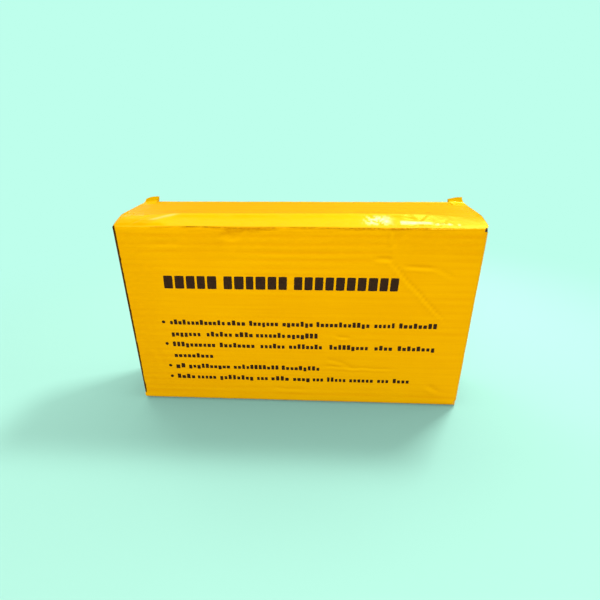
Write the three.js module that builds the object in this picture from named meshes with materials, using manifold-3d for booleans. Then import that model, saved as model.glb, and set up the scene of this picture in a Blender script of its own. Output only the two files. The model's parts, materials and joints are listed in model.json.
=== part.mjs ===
// Solar charge controller in its retail carton: a small tuck-end carton of E-flute
// board standing on a long narrow side, holding the controller and its leaflet.
// Millimetres, +Z up, front towards -Y, left towards -X, origin at the centre of the
// base. Pieces are drawn with y = 0 on the outer face of the printed front panel, and
// the group is set back by half the depth.
import * as THREE from 'three';
import { mergeVertices } from 'three/addons/utils/BufferGeometryUtils.js';
import Module from 'manifold-3d';

const wasm = await Module();
wasm.setup();

// ---------------------------------------------------------------- carton dimensions
const WIDTH = 150;
const HEIGHT = 90;
const DEPTH = 34;
const SIDE_X = WIDTH / 2;       // outer face of a side panel
const BOARD = 1.6;              // board thickness
const GAP = 0.3;                // between neighbouring board panels
const CREASE_GAP = 0.15;        // from a crease to the board either side of it
const CREASE_Z = 86.3;          // crease between front panel and top lid
const CREASE_Z_LOW = 2.2;       // crease between front panel and bottom lid
const RIDGE_Y = 8;              // ridge between the top lid's front slope and its flat
const RIDGE_Z = 89.7;
const TUCK_Y = 32.1;            // crease between a lid and its tuck flap
const TUCK_LENGTH = 9;
const TUCK_LEAN = THREE.MathUtils.degToRad(15); // tuck flaps lean forwards
const TUCK_HALF = 67.5;         // half width of a tuck flap
const TUCK_MITRE = BOARD / Math.tan((Math.PI / 2 - TUCK_LEAN) / 2);
const EAR_X = 68;               // inner edge of the ears on the lids' back corners
const EAR_TOP = HEIGHT + 2.5;   // the top lid's ears curl up to here
const DUST_Z = 88.1;            // crease of the top dust flaps
const DUST_Z_LOW = 1.9;         // crease of the bottom dust flaps
const DUST_FRONT = 9.8;         // front end of a top dust flap's crease
const DUST_BACK = 31.4;         // back end of a dust flap's crease
const DUST_TUCK_Y = 28.8;       // back edge of a dust flap beside the tuck flap
const DUST_LENGTH = 28;
const DUST_LENGTH_LOW = 19;

// ---------------------------------------------------------------- materials
const standard = (options) => new THREE.MeshStandardMaterial(options);
const MATERIALS = {
  print: standard({ color: 0xf6b400, roughness: 0.38 }),
  kraft: standard({ color: 0xb98d5a, roughness: 0.9 }),
  paper: standard({ color: 0xf2f1ec, roughness: 0.85 }),
  plate: standard({ color: 0x9ea2a6, roughness: 0.42, metalness: 1 }),
  shell: standard({ color: 0x2b2f33, roughness: 0.55 }),
  overlay: standard({ color: 0x1f4e8c, roughness: 0.4 }),
  clear: standard({ color: 0xcfd8dc, roughness: 0.08, transparent: true, opacity: 0.45 }),
  lcd: standard({ color: 0x8fa37a, roughness: 0.25 }),
  diffuser: standard({ color: 0xe9eef2, roughness: 0.5 }),
  button: standard({ color: 0x4a4f55, roughness: 0.6 }),
  pcb: standard({ color: 0x14512c, roughness: 0.5 }),
  switchBody: standard({ color: 0x222222, roughness: 0.5 }),
  terminal: standard({ color: 0x1f7a3d, roughness: 0.5 }),
  steel: standard({ color: 0xb8bcc0, roughness: 0.35, metalness: 1 }),
  brass: standard({ color: 0xc9a14a, roughness: 0.35, metalness: 1 }),
  jack: standard({ color: 0x17181a, roughness: 0.5 }),
  chip: standard({ color: 0x1b1c1e, roughness: 0.6 }),
  ferrite: standard({ color: 0x9a6a2c, roughness: 0.45, metalness: 0.3 }),
  can: standard({ color: 0x24304a, roughness: 0.45, metalness: 0.2 }),
};

// ---------------------------------------------------------------- outlines
const around = (middle, half) => [middle - half, middle + half];

const roundRect = (centreX, centreY, width, height, radius, steps = 4) => {
  const corners = [[1, 1, 0], [-1, 1, 90], [-1, -1, 180], [1, -1, 270]]; // signs, start angle
  return corners.flatMap(([signX, signY, start]) =>
    Array.from({ length: steps + 1 }, (_, i) => {
      const angle = (start + 90 * i / steps) * Math.PI / 180;
      return [
        centreX + signX * (width / 2 - radius) + radius * Math.cos(angle),
        centreY + signY * (height / 2 - radius) + radius * Math.sin(angle),
      ];
    }));
};

const circle = (centreX, centreY, radius, count) =>
  Array.from({ length: count }, (_, i) => {
    const angle = 2 * Math.PI * i / count;
    return [centreX + radius * Math.cos(angle), centreY + radius * Math.sin(angle)];
  });

// ---------------------------------------------------------------- primitives
// Ranges are [low, high] pairs along an axis.
const box = ([x0, x1], [y0, y1], [z0, z1]) =>
  new THREE.BoxGeometry(x1 - x0, y1 - y0, z1 - z0)
    .translate((x0 + x1) / 2, (y0 + y1) / 2, (z0 + z1) / 2);

const extrude = (outline, depth, holes = []) => {
  const vectors = (points) => points.map(([a, b]) => new THREE.Vector2(a, b));
  const shape = new THREE.Shape(vectors(outline));
  shape.holes = holes.map((hole) => new THREE.Path(vectors(hole)));
  return new THREE.ExtrudeGeometry(shape, { depth, bevelEnabled: false });
};

const AXIS_X = new THREE.Vector3(1, 0, 0);
const AXIS_Y = new THREE.Vector3(0, 1, 0);
const AXIS_Z = new THREE.Vector3(0, 0, 1);
const ALONG_X = new THREE.Matrix4().makeBasis(AXIS_Y, AXIS_Z, AXIS_X);
const ALONG_Y = new THREE.Matrix4().makeBasis(AXIS_X, AXIS_Z, AXIS_Y.clone().negate());

// outline in (y, z), drawn out along x
const prismX = (outline, [x0, x1]) =>
  extrude(outline, x1 - x0).applyMatrix4(ALONG_X).translate(x0, 0, 0);
// outline in (x, z), drawn out along y
const prismY = (outline, [y0, y1], holes) =>
  extrude(outline, y1 - y0, holes).applyMatrix4(ALONG_Y).translate(0, y1, 0);
// outline in (x, y), drawn out along z
const prismZ = (outline, [z0, z1]) => extrude(outline, z1 - z0).translate(0, 0, z0);

const cylinderY = (x, z, radius, [y0, y1], segments) =>
  new THREE.CylinderGeometry(radius, radius, y1 - y0, segments)
    .translate(x, (y0 + y1) / 2, z);
const cylinderZ = (x, y, radius, [z0, z1], segments) =>
  new THREE.CylinderGeometry(radius, radius, z1 - z0, segments)
    .rotateX(Math.PI / 2)
    .translate(x, y, (z0 + z1) / 2);

// outline in (radius, y), turned about a line along y through (x, z)
const latheY = (outline, segments, x, y, z) =>
  new THREE.LatheGeometry(outline.map(([r, h]) => new THREE.Vector2(r, h)), segments)
    .translate(x, y, z);

// ---------------------------------------------------------------- solids
// A shape is either a BufferGeometry or a Manifold solid; these accept both.
const toSolid = (shape) => {
  if (!shape.isBufferGeometry) return shape;
  const bare = shape.clone();
  bare.deleteAttribute('normal'); // so that only positions decide which vertices merge
  bare.deleteAttribute('uv');
  const merged = mergeVertices(bare, 1e-5);
  return new wasm.Manifold(new wasm.Mesh({
    numProp: 3,
    vertProperties: new Float32Array(merged.attributes.position.array),
    triVerts: new Uint32Array(merged.index.array),
  }));
};

const toGeometry = (shape) => {
  if (shape.isBufferGeometry) return shape;
  const mesh = shape.getMesh();
  const indexed = new THREE.BufferGeometry();
  const positions = new Float32Array(mesh.vertProperties);
  indexed.setAttribute('position', new THREE.BufferAttribute(positions, 3));
  indexed.setIndex(new THREE.BufferAttribute(new Uint32Array(mesh.triVerts), 1));
  const flat = indexed.toNonIndexed();
  flat.computeVertexNormals();
  return flat;
};

const join = (...shapes) => shapes.map(toSolid).reduce((a, b) => a.add(b));
const cut = (base, ...tools) =>
  tools.reduce((rest, tool) => rest.subtract(toSolid(tool)), toSolid(base));

// x to -x, with each triangle's winding turned so that it still faces out
const mirrorX = (shape) => {
  const geometry = toGeometry(shape);
  const { position } = (geometry.index ? geometry.toNonIndexed() : geometry).attributes;
  const points = [];
  for (let i = 0; i < position.count; i += 3) {
    for (const k of [i, i + 2, i + 1]) {
      points.push(-position.getX(k), position.getY(k), position.getZ(k));
    }
  }
  const mirrored = new THREE.BufferGeometry();
  mirrored.setAttribute('position', new THREE.Float32BufferAttribute(points, 3));
  mirrored.computeVertexNormals();
  return mirrored;
};
const bothEnds = (shape) => [shape, mirrorX(shape)];

const group = new THREE.Group();
group.position.y = -DEPTH / 2;
const add = (name, shape, material) => {
  const mesh = new THREE.Mesh(toGeometry(shape), material);
  mesh.name = name;
  group.add(mesh);
};

// ---------------------------------------------------------------- carton tube
// The front panel's ends are mitred so that the lids fold about its outer face.
add('carton_front_panel', prismX([
  [0, CREASE_Z_LOW + CREASE_GAP], [BOARD, CREASE_Z_LOW + 1.2],
  [BOARD, CREASE_Z - 1.22], [0, CREASE_Z - CREASE_GAP],
], [-SIDE_X, SIDE_X]), MATERIALS.print);

// The back panel's lower corners are notched for the bottom lid's ears.
const NOTCH_X = EAR_X - 0.3;
const NOTCH_Z = 1.9;
const BACK_Z = [0.8, 89.2];
add('carton_back_panel', prismY([
  [-SIDE_X, NOTCH_Z], [-NOTCH_X, NOTCH_Z], [-NOTCH_X, BACK_Z[0]],
  [NOTCH_X, BACK_Z[0]], [NOTCH_X, NOTCH_Z], [SIDE_X, NOTCH_Z],
  [SIDE_X, BACK_Z[1]], [-SIDE_X, BACK_Z[1]],
], [DEPTH - BOARD, DEPTH]), MATERIALS.print);

// Left side panel: its top edge follows the underside of the lid at the front, and
// both edges are mitred at 45 degrees where the dust flaps fold.
const leftSidePanel = () => {
  const front = BOARD + GAP;
  const back = DEPTH - BOARD - GAP;
  const top = DUST_Z - CREASE_GAP;
  const blank = prismX([
    [front, 3.2], [DUST_FRONT - 6, 1.9], [back, 1.9],
    [back, top], [9.5, top], [8.6, 87.8], [4, 85.95], [front, 84.8],
  ], [-SIDE_X, -SIDE_X + BOARD]);
  // up is 1 at the top edge, -1 at the bottom edge
  const mitre = (creaseZ, up, frontY) => prismY([
    [-SIDE_X - 1, creaseZ + up * (1 - CREASE_GAP)],
    [-SIDE_X + 3, creaseZ - up * (3 + CREASE_GAP)],
    [-SIDE_X + 3, creaseZ + up],
  ], [frontY, DUST_BACK + 0.4]);
  return cut(blank,
    mitre(DUST_Z, 1, DUST_FRONT - 0.4),
    mitre(DUST_Z_LOW, -1, DUST_FRONT - 6.4));
};
const sidePanel = leftSidePanel();
add('carton_left_side_panel', sidePanel, MATERIALS.print);
add('carton_right_side_panel', mirrorX(sidePanel), MATERIALS.print);

// The maker's joint: a flap on the left side panel, glued behind the front panel.
const GLUE_X = -SIDE_X + BOARD + GAP;
add('carton_glue_flap', prismY(
  [[GLUE_X, 5], [-60, 8], [-60, 80], [GLUE_X, 83]],
  [BOARD + GAP, 2 * BOARD + GAP]), MATERIALS.kraft);

// ---------------------------------------------------------------- flaps
// Tuck flap, mitred at its crease; up is the direction it points from the crease.
const tuckFlap = (up, creaseZ) => {
  const sin = Math.sin(TUCK_LEAN);
  const cos = Math.cos(TUCK_LEAN);
  // point a distance along the flap from its crease and in from its outer face
  const at = (along, inward) => [
    TUCK_Y - sin * along - cos * inward,
    creaseZ + up * (cos * along - sin * inward),
  ];
  const body = prismX([
    at(CREASE_GAP, 0), at(TUCK_LENGTH, 0), at(TUCK_LENGTH, BOARD), at(TUCK_MITRE + 0.2, BOARD),
  ], [-TUCK_HALF, TUCK_HALF]);
  // the free corners are cut off at an angle
  const edge = TUCK_HALF + 0.1;
  const end = creaseZ + up * 12;
  const corner = prismY(
    [[edge, creaseZ + up * 3.2], [edge, end], [TUCK_HALF - 7, end]], [20, 40]);
  return cut(body, ...bothEnds(corner));
};

// Pair of dust flaps, mitred at the crease, one board thick towards the carton's
// middle. Outline columns: distance in from the crease, y. up is 1 for the top pair.
const addDustFlaps = (name, outline, creaseZ, up) => {
  const zRange = [creaseZ, creaseZ - up * BOARD].sort((a, b) => a - b);
  const flap = cut(
    prismZ(outline.map(([inward, y]) => [-SIDE_X + inward, y]), zRange),
    prismY([
      [-SIDE_X - 1, creaseZ + up * (1 + CREASE_GAP)],
      [-SIDE_X - 1, creaseZ - up * 4],
      [-SIDE_X + 4 + CREASE_GAP, creaseZ - up * 4],
    ], [0, 40]));
  add(`${name}_left`, flap, MATERIALS.print);
  add(`${name}_right`, mirrorX(flap), MATERIALS.print);
};
// back edge shared by all dust flaps, stepped beside the tuck flap
const DUST_BACK_EDGE = [[7.1, DUST_TUCK_Y], [6.2, DUST_BACK], [0, DUST_BACK]];

// ---------------------------------------------------------------- top closure
// The lid slopes down to the front crease, and its two back corners stand up as
// ears past the ends of the tuck crease. Profile columns: y, z.
const LID_PROFILE = [
  [0.1, CREASE_Z + 0.12], [1, 86.85], [RIDGE_Y, RIDGE_Z], [RIDGE_Y + 1.8, HEIGHT],
  [TUCK_Y - CREASE_GAP, HEIGHT], [TUCK_Y - TUCK_MITRE - 0.2, HEIGHT - BOARD],
  [RIDGE_Y + 1.9, HEIGHT - BOARD], [RIDGE_Y + 0.6, 88.2], [1.75, CREASE_Z - 0.95],
];
const EAR_PROFILE = [
  [24, HEIGHT], [27, 90.1], [29.6, 90.2], [31, 90.6], [31.75, 91.4], [32.1, EAR_TOP],
  [33.7, EAR_TOP - 0.3], [33.4, 91], [32.6, 89.9], [31, 89], [29, 88.5], [27, 88.45],
  [24, HEIGHT - BOARD],
];
const flatCorner = box([-SIDE_X - 1, -EAR_X], [25.5, 40], [80, 100]);
const topLid = join(
  cut(prismX(LID_PROFILE, [-SIDE_X, SIDE_X]), ...bothEnds(flatCorner)),
  ...bothEnds(prismX(EAR_PROFILE, [-SIDE_X, -EAR_X])));
add('top_lid', topLid, MATERIALS.print);
add('top_tuck_flap', tuckFlap(-1, HEIGHT), MATERIALS.print);
addDustFlaps('top_dust_flap', [
  [0, DUST_FRONT], [10, DUST_FRONT], [21, 15.2], [DUST_LENGTH, 20],
  [DUST_LENGTH, 27.2], [25, DUST_TUCK_Y], ...DUST_BACK_EDGE,
], DUST_Z, 1);

// ---------------------------------------------------------------- bottom closure
// The bottom lid's ears lie flat and reach the back face. Profile columns: y, z.
const LOW_LID_PROFILE = [
  [0.1, CREASE_Z_LOW - CREASE_GAP], [1.7, CREASE_Z_LOW + 0.75], [3, BOARD],
  [TUCK_Y - TUCK_MITRE - 0.2, BOARD], [TUCK_Y - CREASE_GAP, 0], [2.1, 0], [0.7, 0.7],
];
const mitredCorner = box([-SIDE_X - 1, -EAR_X], [29, 40], [-1, 5]);
const bottomLid = join(
  cut(prismX(LOW_LID_PROFILE, [-SIDE_X, SIDE_X]), ...bothEnds(mitredCorner)),
  ...bothEnds(box([-SIDE_X, -EAR_X], [28, DEPTH], [0, BOARD])));
add('bottom_lid', bottomLid, MATERIALS.print);
add('bottom_tuck_flap', tuckFlap(1, 0), MATERIALS.print);
const LOW_DUST_FRONT = 4.2; // the front edge runs back from here at 45 degrees
addDustFlaps('bottom_dust_flap', [
  [0, LOW_DUST_FRONT], [DUST_LENGTH_LOW, LOW_DUST_FRONT + DUST_LENGTH_LOW],
  [DUST_LENGTH_LOW, 27.2], [17, DUST_TUCK_Y], ...DUST_BACK_EDGE,
], DUST_Z_LOW, -1);

// ---------------------------------------------------------------- leaflet
add('user_leaflet', prismY(roundRect(0, 38.2, 100, 68, 1, 2), [2.2, 3.3]), MATERIALS.paper);

// ---------------------------------------------------------------- controller dimensions
const CTRL_Z0 = 4;              // underside
const CTRL_HEIGHT = 70;
const CTRL_Z = CTRL_Z0 + CTRL_HEIGHT / 2;
const PLATE_WIDTH = 133;        // over the mounting ears
const PLATE_FRONT = 24.8;
const PLATE_BACK = 26.6;
const COVER_WIDTH = 122;
const COVER_INSET = 0.6;        // cover's edge inside the plate's, top and bottom
const COVER_HEIGHT = CTRL_HEIGHT - 2 * COVER_INSET;
const COVER_FRONT = 5.2;
const COVER_BACK = 24.6;
const COVER_WALL = 2;
const COVER_INNER = COVER_FRONT + COVER_WALL; // inner face of the cover's front
const SLOT_LENGTH = 6.8;
const SLOT_RADIUS = 2.2;
const LCD = { x: -12, z: 53.6, width: 62, height: 30 }; // display aperture
const BUTTON_X = 36;
const BUTTON_WIDTH = 13;
const BUTTON_HEIGHT = 6.4;
const BUTTONS = ['menu', 'up', 'down'].map((name, i) => ({ name, z: 60 - 11 * i }));
const PCB_FRONT = 19.4;
const PCB_BACK = 21;
const PART_BACK = PCB_FRONT - 0.3; // back of the parts in front of the board
const TERM_X0 = -53;
const TERM_PITCH = 9;
const TERM_COUNT = 6;
const TERM_X1 = TERM_X0 + TERM_PITCH * TERM_COUNT;
const TERM_XS = Array.from({ length: TERM_COUNT }, (_, i) => TERM_X0 + TERM_PITCH * (i + 0.5));
const TERM_FRONT = 8;
const TERM_Z0 = 6.8;
const TERM_Z1 = 20;
const TERM_SCREW_Z = 14;
const JACKS = [['dc_jack_solar', 8.5], ['dc_jack_lamp', 19.5]]; // name, x
const JACK_Y = 13.4;
const SOCKET_Z0 = 7;            // open lower ends of the DC and USB sockets
// clearance is the cover opening's margin round the socket
const USB_PORTS = [
  { x: [25.9, 39.1], y: [12.3, 18.3], top: 21, wall: 0.6, tongueY: [15.6, 17], clearance: 0.3 },
  { x: [42, 52.4], y: [14.6, 17.8], top: 15, wall: 0.5, tongueY: [16, 16.6], clearance: 0.4 },
];
const grow = ([low, high], margin) => [low - margin, high + margin];

// four [x, z] places about the controller's centre, lower left first
const fourPlaces = (halfX, halfZ) =>
  around(CTRL_Z, halfZ).flatMap((z) => [[-halfX, z], [halfX, z]]);
const SLOTS = fourPlaces(62.4, 22);
const BOSSES = fourPlaces(56.2, 29.4);

// ---------------------------------------------------------------- back plate
// mounting slot, without points that nearly coincide at its rounded ends
const slotOutline = ([x, z]) =>
  roundRect(x, z, SLOT_LENGTH, 2 * SLOT_RADIUS, SLOT_RADIUS - 0.01, 5).filter((p, i, all) =>
    i === 0 || Math.hypot(p[0] - all[i - 1][0], p[1] - all[i - 1][1]) > 0.02);
add('heatsink_back_plate', prismY(
  roundRect(0, CTRL_Z, PLATE_WIDTH, CTRL_HEIGHT, 3), [PLATE_FRONT, PLATE_BACK],
  [...SLOTS.map(slotOutline), ...BOSSES.map(([x, z]) => circle(x, z, 1.7, 12))],
), MATERIALS.plate);

// ---------------------------------------------------------------- front cover
// A deep shell, open at the back, with screw bosses in its corners.
const coverShell = () => {
  const outer = prismY(roundRect(0, CTRL_Z, COVER_WIDTH, COVER_HEIGHT, 4),
    [COVER_FRONT, COVER_BACK]);
  const cavity = prismY(
    roundRect(0, CTRL_Z, COVER_WIDTH - 2 * COVER_WALL, COVER_HEIGHT - 2 * COVER_WALL, 2.5),
    [COVER_INNER, COVER_BACK + 1]);
  const posts = BOSSES.map(([x, z]) =>
    cylinderY(x, z, 2.9, [COVER_FRONT + 1, COVER_BACK - 0.2], 16));
  const bores = BOSSES.map(([x, z]) =>
    cylinderY(x, z, 1.4, [COVER_FRONT + 8, COVER_BACK + 1], 12));
  return cut(join(cut(outer, cavity), ...posts), ...bores);
};

// display, button and terminal screw openings
const frontOpenings = () => {
  const through = [COVER_FRONT - 1, COVER_INNER + 1];
  return [
    box(around(LCD.x, LCD.width / 2), through, around(LCD.z, LCD.height / 2)),
    ...BUTTONS.map(({ z }) => prismY(
      roundRect(BUTTON_X, z, BUTTON_WIDTH + 0.7, BUTTON_HEIGHT + 0.7, 2, 3), through)),
    ...TERM_XS.map((x) => cylinderY(x, TERM_SCREW_Z, 2.5, through, 16)),
  ];
};

// openings in the lower wall: one for the terminals, round for DC, square for USB
const lowerOpenings = () => {
  const wallZ = CTRL_Z0 + COVER_INSET;
  const through = [wallZ - 1, wallZ + COVER_WALL + 0.5];
  return [
    box([TERM_X0 + 0.8, TERM_X1 - 0.8], [TERM_FRONT + 2.6, PART_BACK - 1], through),
    ...JACKS.map(([, x]) => cylinderZ(x, JACK_Y, 4, through, 16)),
    ...USB_PORTS.map(({ x, y, clearance }) => box(grow(x, clearance), grow(y, clearance), through)),
  ];
};

// four vent slots in each end
const ventSlots = () => [0, 1, 2, 3].flatMap((i) => bothEnds(box(
  [COVER_WIDTH / 2 - COVER_WALL - 1, COVER_WIDTH / 2 + 1], [11, 20], [30 + 7 * i, 32 + 7 * i])));

add('front_cover', cut(coverShell(), ...frontOpenings(), ...lowerOpenings(), ...ventSlots()),
  MATERIALS.shell);

// ---------------------------------------------------------------- face and display
add('face_overlay', prismY(
  roundRect(0, 47, 114, 48, 2.5), [COVER_FRONT - 0.4, COVER_FRONT - 0.1], [
    roundRect(LCD.x, LCD.z, LCD.width - 2, LCD.height - 2, 1, 2),
    ...BUTTONS.map(({ z }) =>
      roundRect(BUTTON_X, z, BUTTON_WIDTH + 1.2, BUTTON_HEIGHT + 1.2, 2, 3)),
  ]), MATERIALS.overlay);
add('lcd_window', box(
  around(LCD.x, LCD.width / 2 - 0.3), [COVER_FRONT + 0.1, COVER_FRONT + 1.5],
  around(LCD.z, LCD.height / 2 - 0.3)), MATERIALS.clear);
const lcdLayer = (yRange) =>
  box(around(LCD.x, LCD.width / 2 + 2), yRange, around(LCD.z, LCD.height / 2 + 1.5));
add('lcd_panel', lcdLayer([7.5, 9.7]), MATERIALS.lcd);
add('lcd_backlight', lcdLayer([10, 13]), MATERIALS.diffuser);

// ---------------------------------------------------------------- buttons
// button: body, smaller raised face, round stem behind
const button = (x, z) => join(
  prismY(roundRect(x, z, BUTTON_WIDTH, BUTTON_HEIGHT, 1.8, 3), [4.2, COVER_INNER + 0.8]),
  prismY(roundRect(x, z, BUTTON_WIDTH - 1.4, BUTTON_HEIGHT - 1.4, 1.3, 3), [3.85, 4.4]),
  cylinderY(x, z, 1.6, [COVER_INNER, 11.2], 12));
const tactSwitch = (x, z) => join(
  box(around(x, 3), [PCB_FRONT - 3.9, PART_BACK], around(z, 3)),
  cylinderY(x, z, 1.7, [12.1, PCB_FRONT - 3.5], 12));
for (const { name, z } of BUTTONS) {
  add(`button_${name}`, button(BUTTON_X, z), MATERIALS.button);
  add(`tact_switch_${name}`, tactSwitch(BUTTON_X, z), MATERIALS.switchBody);
}

// ---------------------------------------------------------------- circuit board
add('main_pcb', prismY(
  [[-53, 7.6], [53, 7.6], [53, 70], [-53, 70]], [PCB_FRONT, PCB_BACK],
  [-49, 49].map((x) => circle(x, 66, 1.6, 12))), MATERIALS.pcb);

// ---------------------------------------------------------------- terminals
// A row of cells, each with a screw hole in front and a channel open at the bottom.
const terminalCell = (x) => [
  box(around(x, 3.4), [11.2, PART_BACK - 0.8], [TERM_Z0 - 1, TERM_Z0 + 11.4]),
  cylinderY(x, TERM_SCREW_Z, 2.4, [TERM_FRONT - 1, 11.6], 16),
];
add('terminal_block_housing', cut(
  box([TERM_X0, TERM_X1], [TERM_FRONT, PART_BACK], [TERM_Z0, TERM_Z1]),
  ...TERM_XS.flatMap(terminalCell)), MATERIALS.terminal);

// slotted head on a plain shank
const terminalScrew = (x) => join(
  cut(cylinderY(x, TERM_SCREW_Z, 2.1, [8.4, 10.6], 16),
    box(around(x, 3), [8, 9.3], around(TERM_SCREW_Z, 0.4))),
  cylinderY(x, TERM_SCREW_Z, 1.2, [10.2, 15.2], 12));
// cage open at top and bottom, with the screw's hole in its front wall
const terminalClamp = (x) => cut(
  box(around(x, 3), [13.2, 18], around(TERM_SCREW_Z, 3.6)),
  box(around(x, 2.2), [14, 17.2], around(TERM_SCREW_Z, 5)),
  cylinderY(x, TERM_SCREW_Z, 1.5, [12, 14.6], 12));
TERM_XS.forEach((x, i) => {
  add(`terminal_screw_${i + 1}`, terminalScrew(x), MATERIALS.steel);
  add(`terminal_clamp_${i + 1}`, terminalClamp(x), MATERIALS.brass);
});

// ---------------------------------------------------------------- sockets
// DC sockets, open downwards, with a centre pin
for (const [name, x] of JACKS) {
  add(name, join(
    cut(box(around(x, 4.6), [8.6, PART_BACK], [SOCKET_Z0, 21]),
      cylinderZ(x, JACK_Y, 2.8, [6, 17], 16)),
    cylinderZ(x, JACK_Y, 1.05, [8, 18], 10)), MATERIALS.jack);
}
// USB sockets, open downwards, with a tongue
USB_PORTS.forEach(({ x, y, top, wall, tongueY }, i) => {
  add(`usb_port_${i + 1}`, join(
    cut(box(x, y, [SOCKET_Z0, top]),
      box(grow(x, -wall), grow(y, -wall), [SOCKET_Z0 - 1, top - 2])),
    box(grow(x, -wall - 1), tongueY, [8.4, top - 1])), MATERIALS.steel);
});

// ---------------------------------------------------------------- board components
// power transistors behind the board: body, tab above, leads below
[-30, -6, 18].forEach((x, i) => add(`mosfet_${i + 1}`, join(
  box(around(x, 5), [21.4, 24.4], [40, 49.4]),
  box(around(x, 4.6), [23.2, 24.4], [49, 52]),
  box(around(x, 3), [21.5, 22], [36, 40.4])), MATERIALS.chip));

// toroidal inductor with a chamfered section; columns: radius, y
const INDUCTOR_PROFILE = [
  [4, -4], [7.4, -4], [8, -3.2], [8, 3.2], [7.4, 4], [4, 4], [3.4, 3.2], [3.4, -3.2], [4, -4],
];
add('inductor', latheY(INDUCTOR_PROFILE, 24, -12, 14.8, 28.6), MATERIALS.ferrite);

// capacitor cans with a chamfered front rim; columns: radius, y
const CAN_RADIUS = 4;
const CAN_FRONT = 8.4;
const CAN_PROFILE = [
  [0, CAN_FRONT], [CAN_RADIUS - 0.4, CAN_FRONT], [CAN_RADIUS, CAN_FRONT + 0.5],
  [CAN_RADIUS, PART_BACK], [0, PART_BACK],
];
add('capacitor_1', latheY(CAN_PROFILE, 20, -48, 0, 30), MATERIALS.can);
add('capacitor_2', latheY(CAN_PROFILE, 20, -38, 0, 28.4), MATERIALS.can);

add('mcu_chip', box([12, 22], [17.6, PART_BACK], [24, 34]), MATERIALS.chip);
add('temperature_sensor', join(
  cylinderY(3.8, 26, 1.6, [13.6, 17], 12),
  box(around(3.8, 1.4), [16.8, PART_BACK], around(26, 0.4))), MATERIALS.chip);

// ---------------------------------------------------------------- cover screws
// Cross-slotted screws holding the plate to the cover, from behind.
const coverScrew = ([x, z]) => {
  const slotY = [PLATE_BACK + 0.6, PLATE_BACK + 2];
  const head = cut(cylinderY(x, z, 2.7, [PLATE_BACK + 0.1, PLATE_BACK + 1.1], 16),
    box(around(x, 1.7), slotY, around(z, 0.3)),
    box(around(x, 0.3), slotY, around(z, 1.7)));
  return join(head, cylinderY(x, z, 1.2, [15.5, PLATE_BACK + 0.4], 12));
};
BOSSES.forEach((place, i) => add(`cover_screw_${i + 1}`, coverScrew(place), MATERIALS.steel));

export default group;
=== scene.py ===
# A carton of fluted board, printed yellow, with a leaflet and a controller inside.
# Shapes are worked out in millimetres: x runs to the right, y back from the front
# panel's face and z up from the base. make() moves them into the frame (metres,
# origin at the middle of the base).
import json
import math
from collections import namedtuple
import bpy
import numpy as np
from mathutils import Matrix, Vector


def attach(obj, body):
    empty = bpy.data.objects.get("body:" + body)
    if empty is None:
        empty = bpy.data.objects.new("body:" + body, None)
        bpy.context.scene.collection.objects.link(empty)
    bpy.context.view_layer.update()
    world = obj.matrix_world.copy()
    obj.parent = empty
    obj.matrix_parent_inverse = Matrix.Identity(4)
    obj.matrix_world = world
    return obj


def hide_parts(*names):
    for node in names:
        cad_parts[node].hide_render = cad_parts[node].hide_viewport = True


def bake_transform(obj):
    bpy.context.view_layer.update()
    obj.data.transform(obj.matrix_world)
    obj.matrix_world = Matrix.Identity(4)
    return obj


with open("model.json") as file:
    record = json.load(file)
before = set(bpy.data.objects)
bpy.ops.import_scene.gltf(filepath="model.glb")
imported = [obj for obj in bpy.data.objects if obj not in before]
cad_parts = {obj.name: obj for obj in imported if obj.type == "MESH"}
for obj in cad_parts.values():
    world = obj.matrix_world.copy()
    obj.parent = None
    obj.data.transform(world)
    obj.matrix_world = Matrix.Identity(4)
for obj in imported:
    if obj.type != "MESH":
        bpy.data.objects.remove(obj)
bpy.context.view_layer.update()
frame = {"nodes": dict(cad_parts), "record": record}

scene = bpy.context.scene

# ------------------------------------------------------------------ dimensions, mm
HALF = 75.0             # half the carton's width
DEPTH = 34.0
BOARD = 1.6             # board thickness
PITCH = 3.4             # one flute of the board
FLUTE_SHOW = 0.058      # how far the flutes show through the print
EDGE_LIP = 0.27         # liner thickness seen on a raw edge
FRONT_TOP = 86.44       # where the front face and the lid's slope would meet
LID_RISE = 0.4075       # rise of the lid's slope per mm of depth
LID_TOP = 90.0
CROWN = 0.75            # how far the lid's back edge stands up over its tuck flap
SLIT_X = 68.0           # slits between a lid and its two ears
TUCK_HALF = 67.5        # half the width of a tuck flap
TUCK_Y = 32.1           # where a lid and its tuck flap would meet
TUCK_REACH = 1.15       # from there to where the tuck flap's crease ends
LEAN = math.radians(15)     # of the tuck flaps
FOLD_RADIUS = 1.7       # vertical folds of the tube
FLAP_RADIUS = 1.62      # fold of the glue flap
WARP_HEIGHT = 86.0


# ------------------------------------------------------------------ numbers
class Noise:
    """Smooth value noise on a seeded lattice, from -1 to 1."""

    def __init__(self, seed):
        self.lattice = np.random.default_rng(seed).random((256, 256)) * 2 - 1

    def __call__(self, x, y):
        x, y = np.broadcast_arrays(np.asarray(x, float), np.asarray(y, float))
        col, row = np.floor(x).astype(int), np.floor(y).astype(int)
        x, y = x - col, y - row
        u, v = x * x * (3 - 2 * x), y * y * (3 - 2 * y)

        def at(right, up):
            return self.lattice[(col + right) & 255, (row + up) & 255]

        low = at(0, 0) * (1 - u) + at(1, 0) * u
        high = at(0, 1) * (1 - u) + at(1, 1) * u
        return low * (1 - v) + high * v


NOISE = [Noise(100 + i) for i in range(16)]


def ease(start, end, x):
    """0 at start, 1 at end and smooth between; start may be the larger."""
    t = np.clip((np.asarray(x, float) - start) / (end - start), 0, 1)
    return t * t * (3 - 2 * t)


def window(x, start, full, drop, end):
    """Rises from start to full and falls again from drop to end."""
    return ease(start, full, x) * ease(end, drop, x)


def bell(distance, width, power=2):
    return np.exp(-(distance / width) ** power)


def positive(values):
    return np.clip(values, 0, 1)


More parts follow.
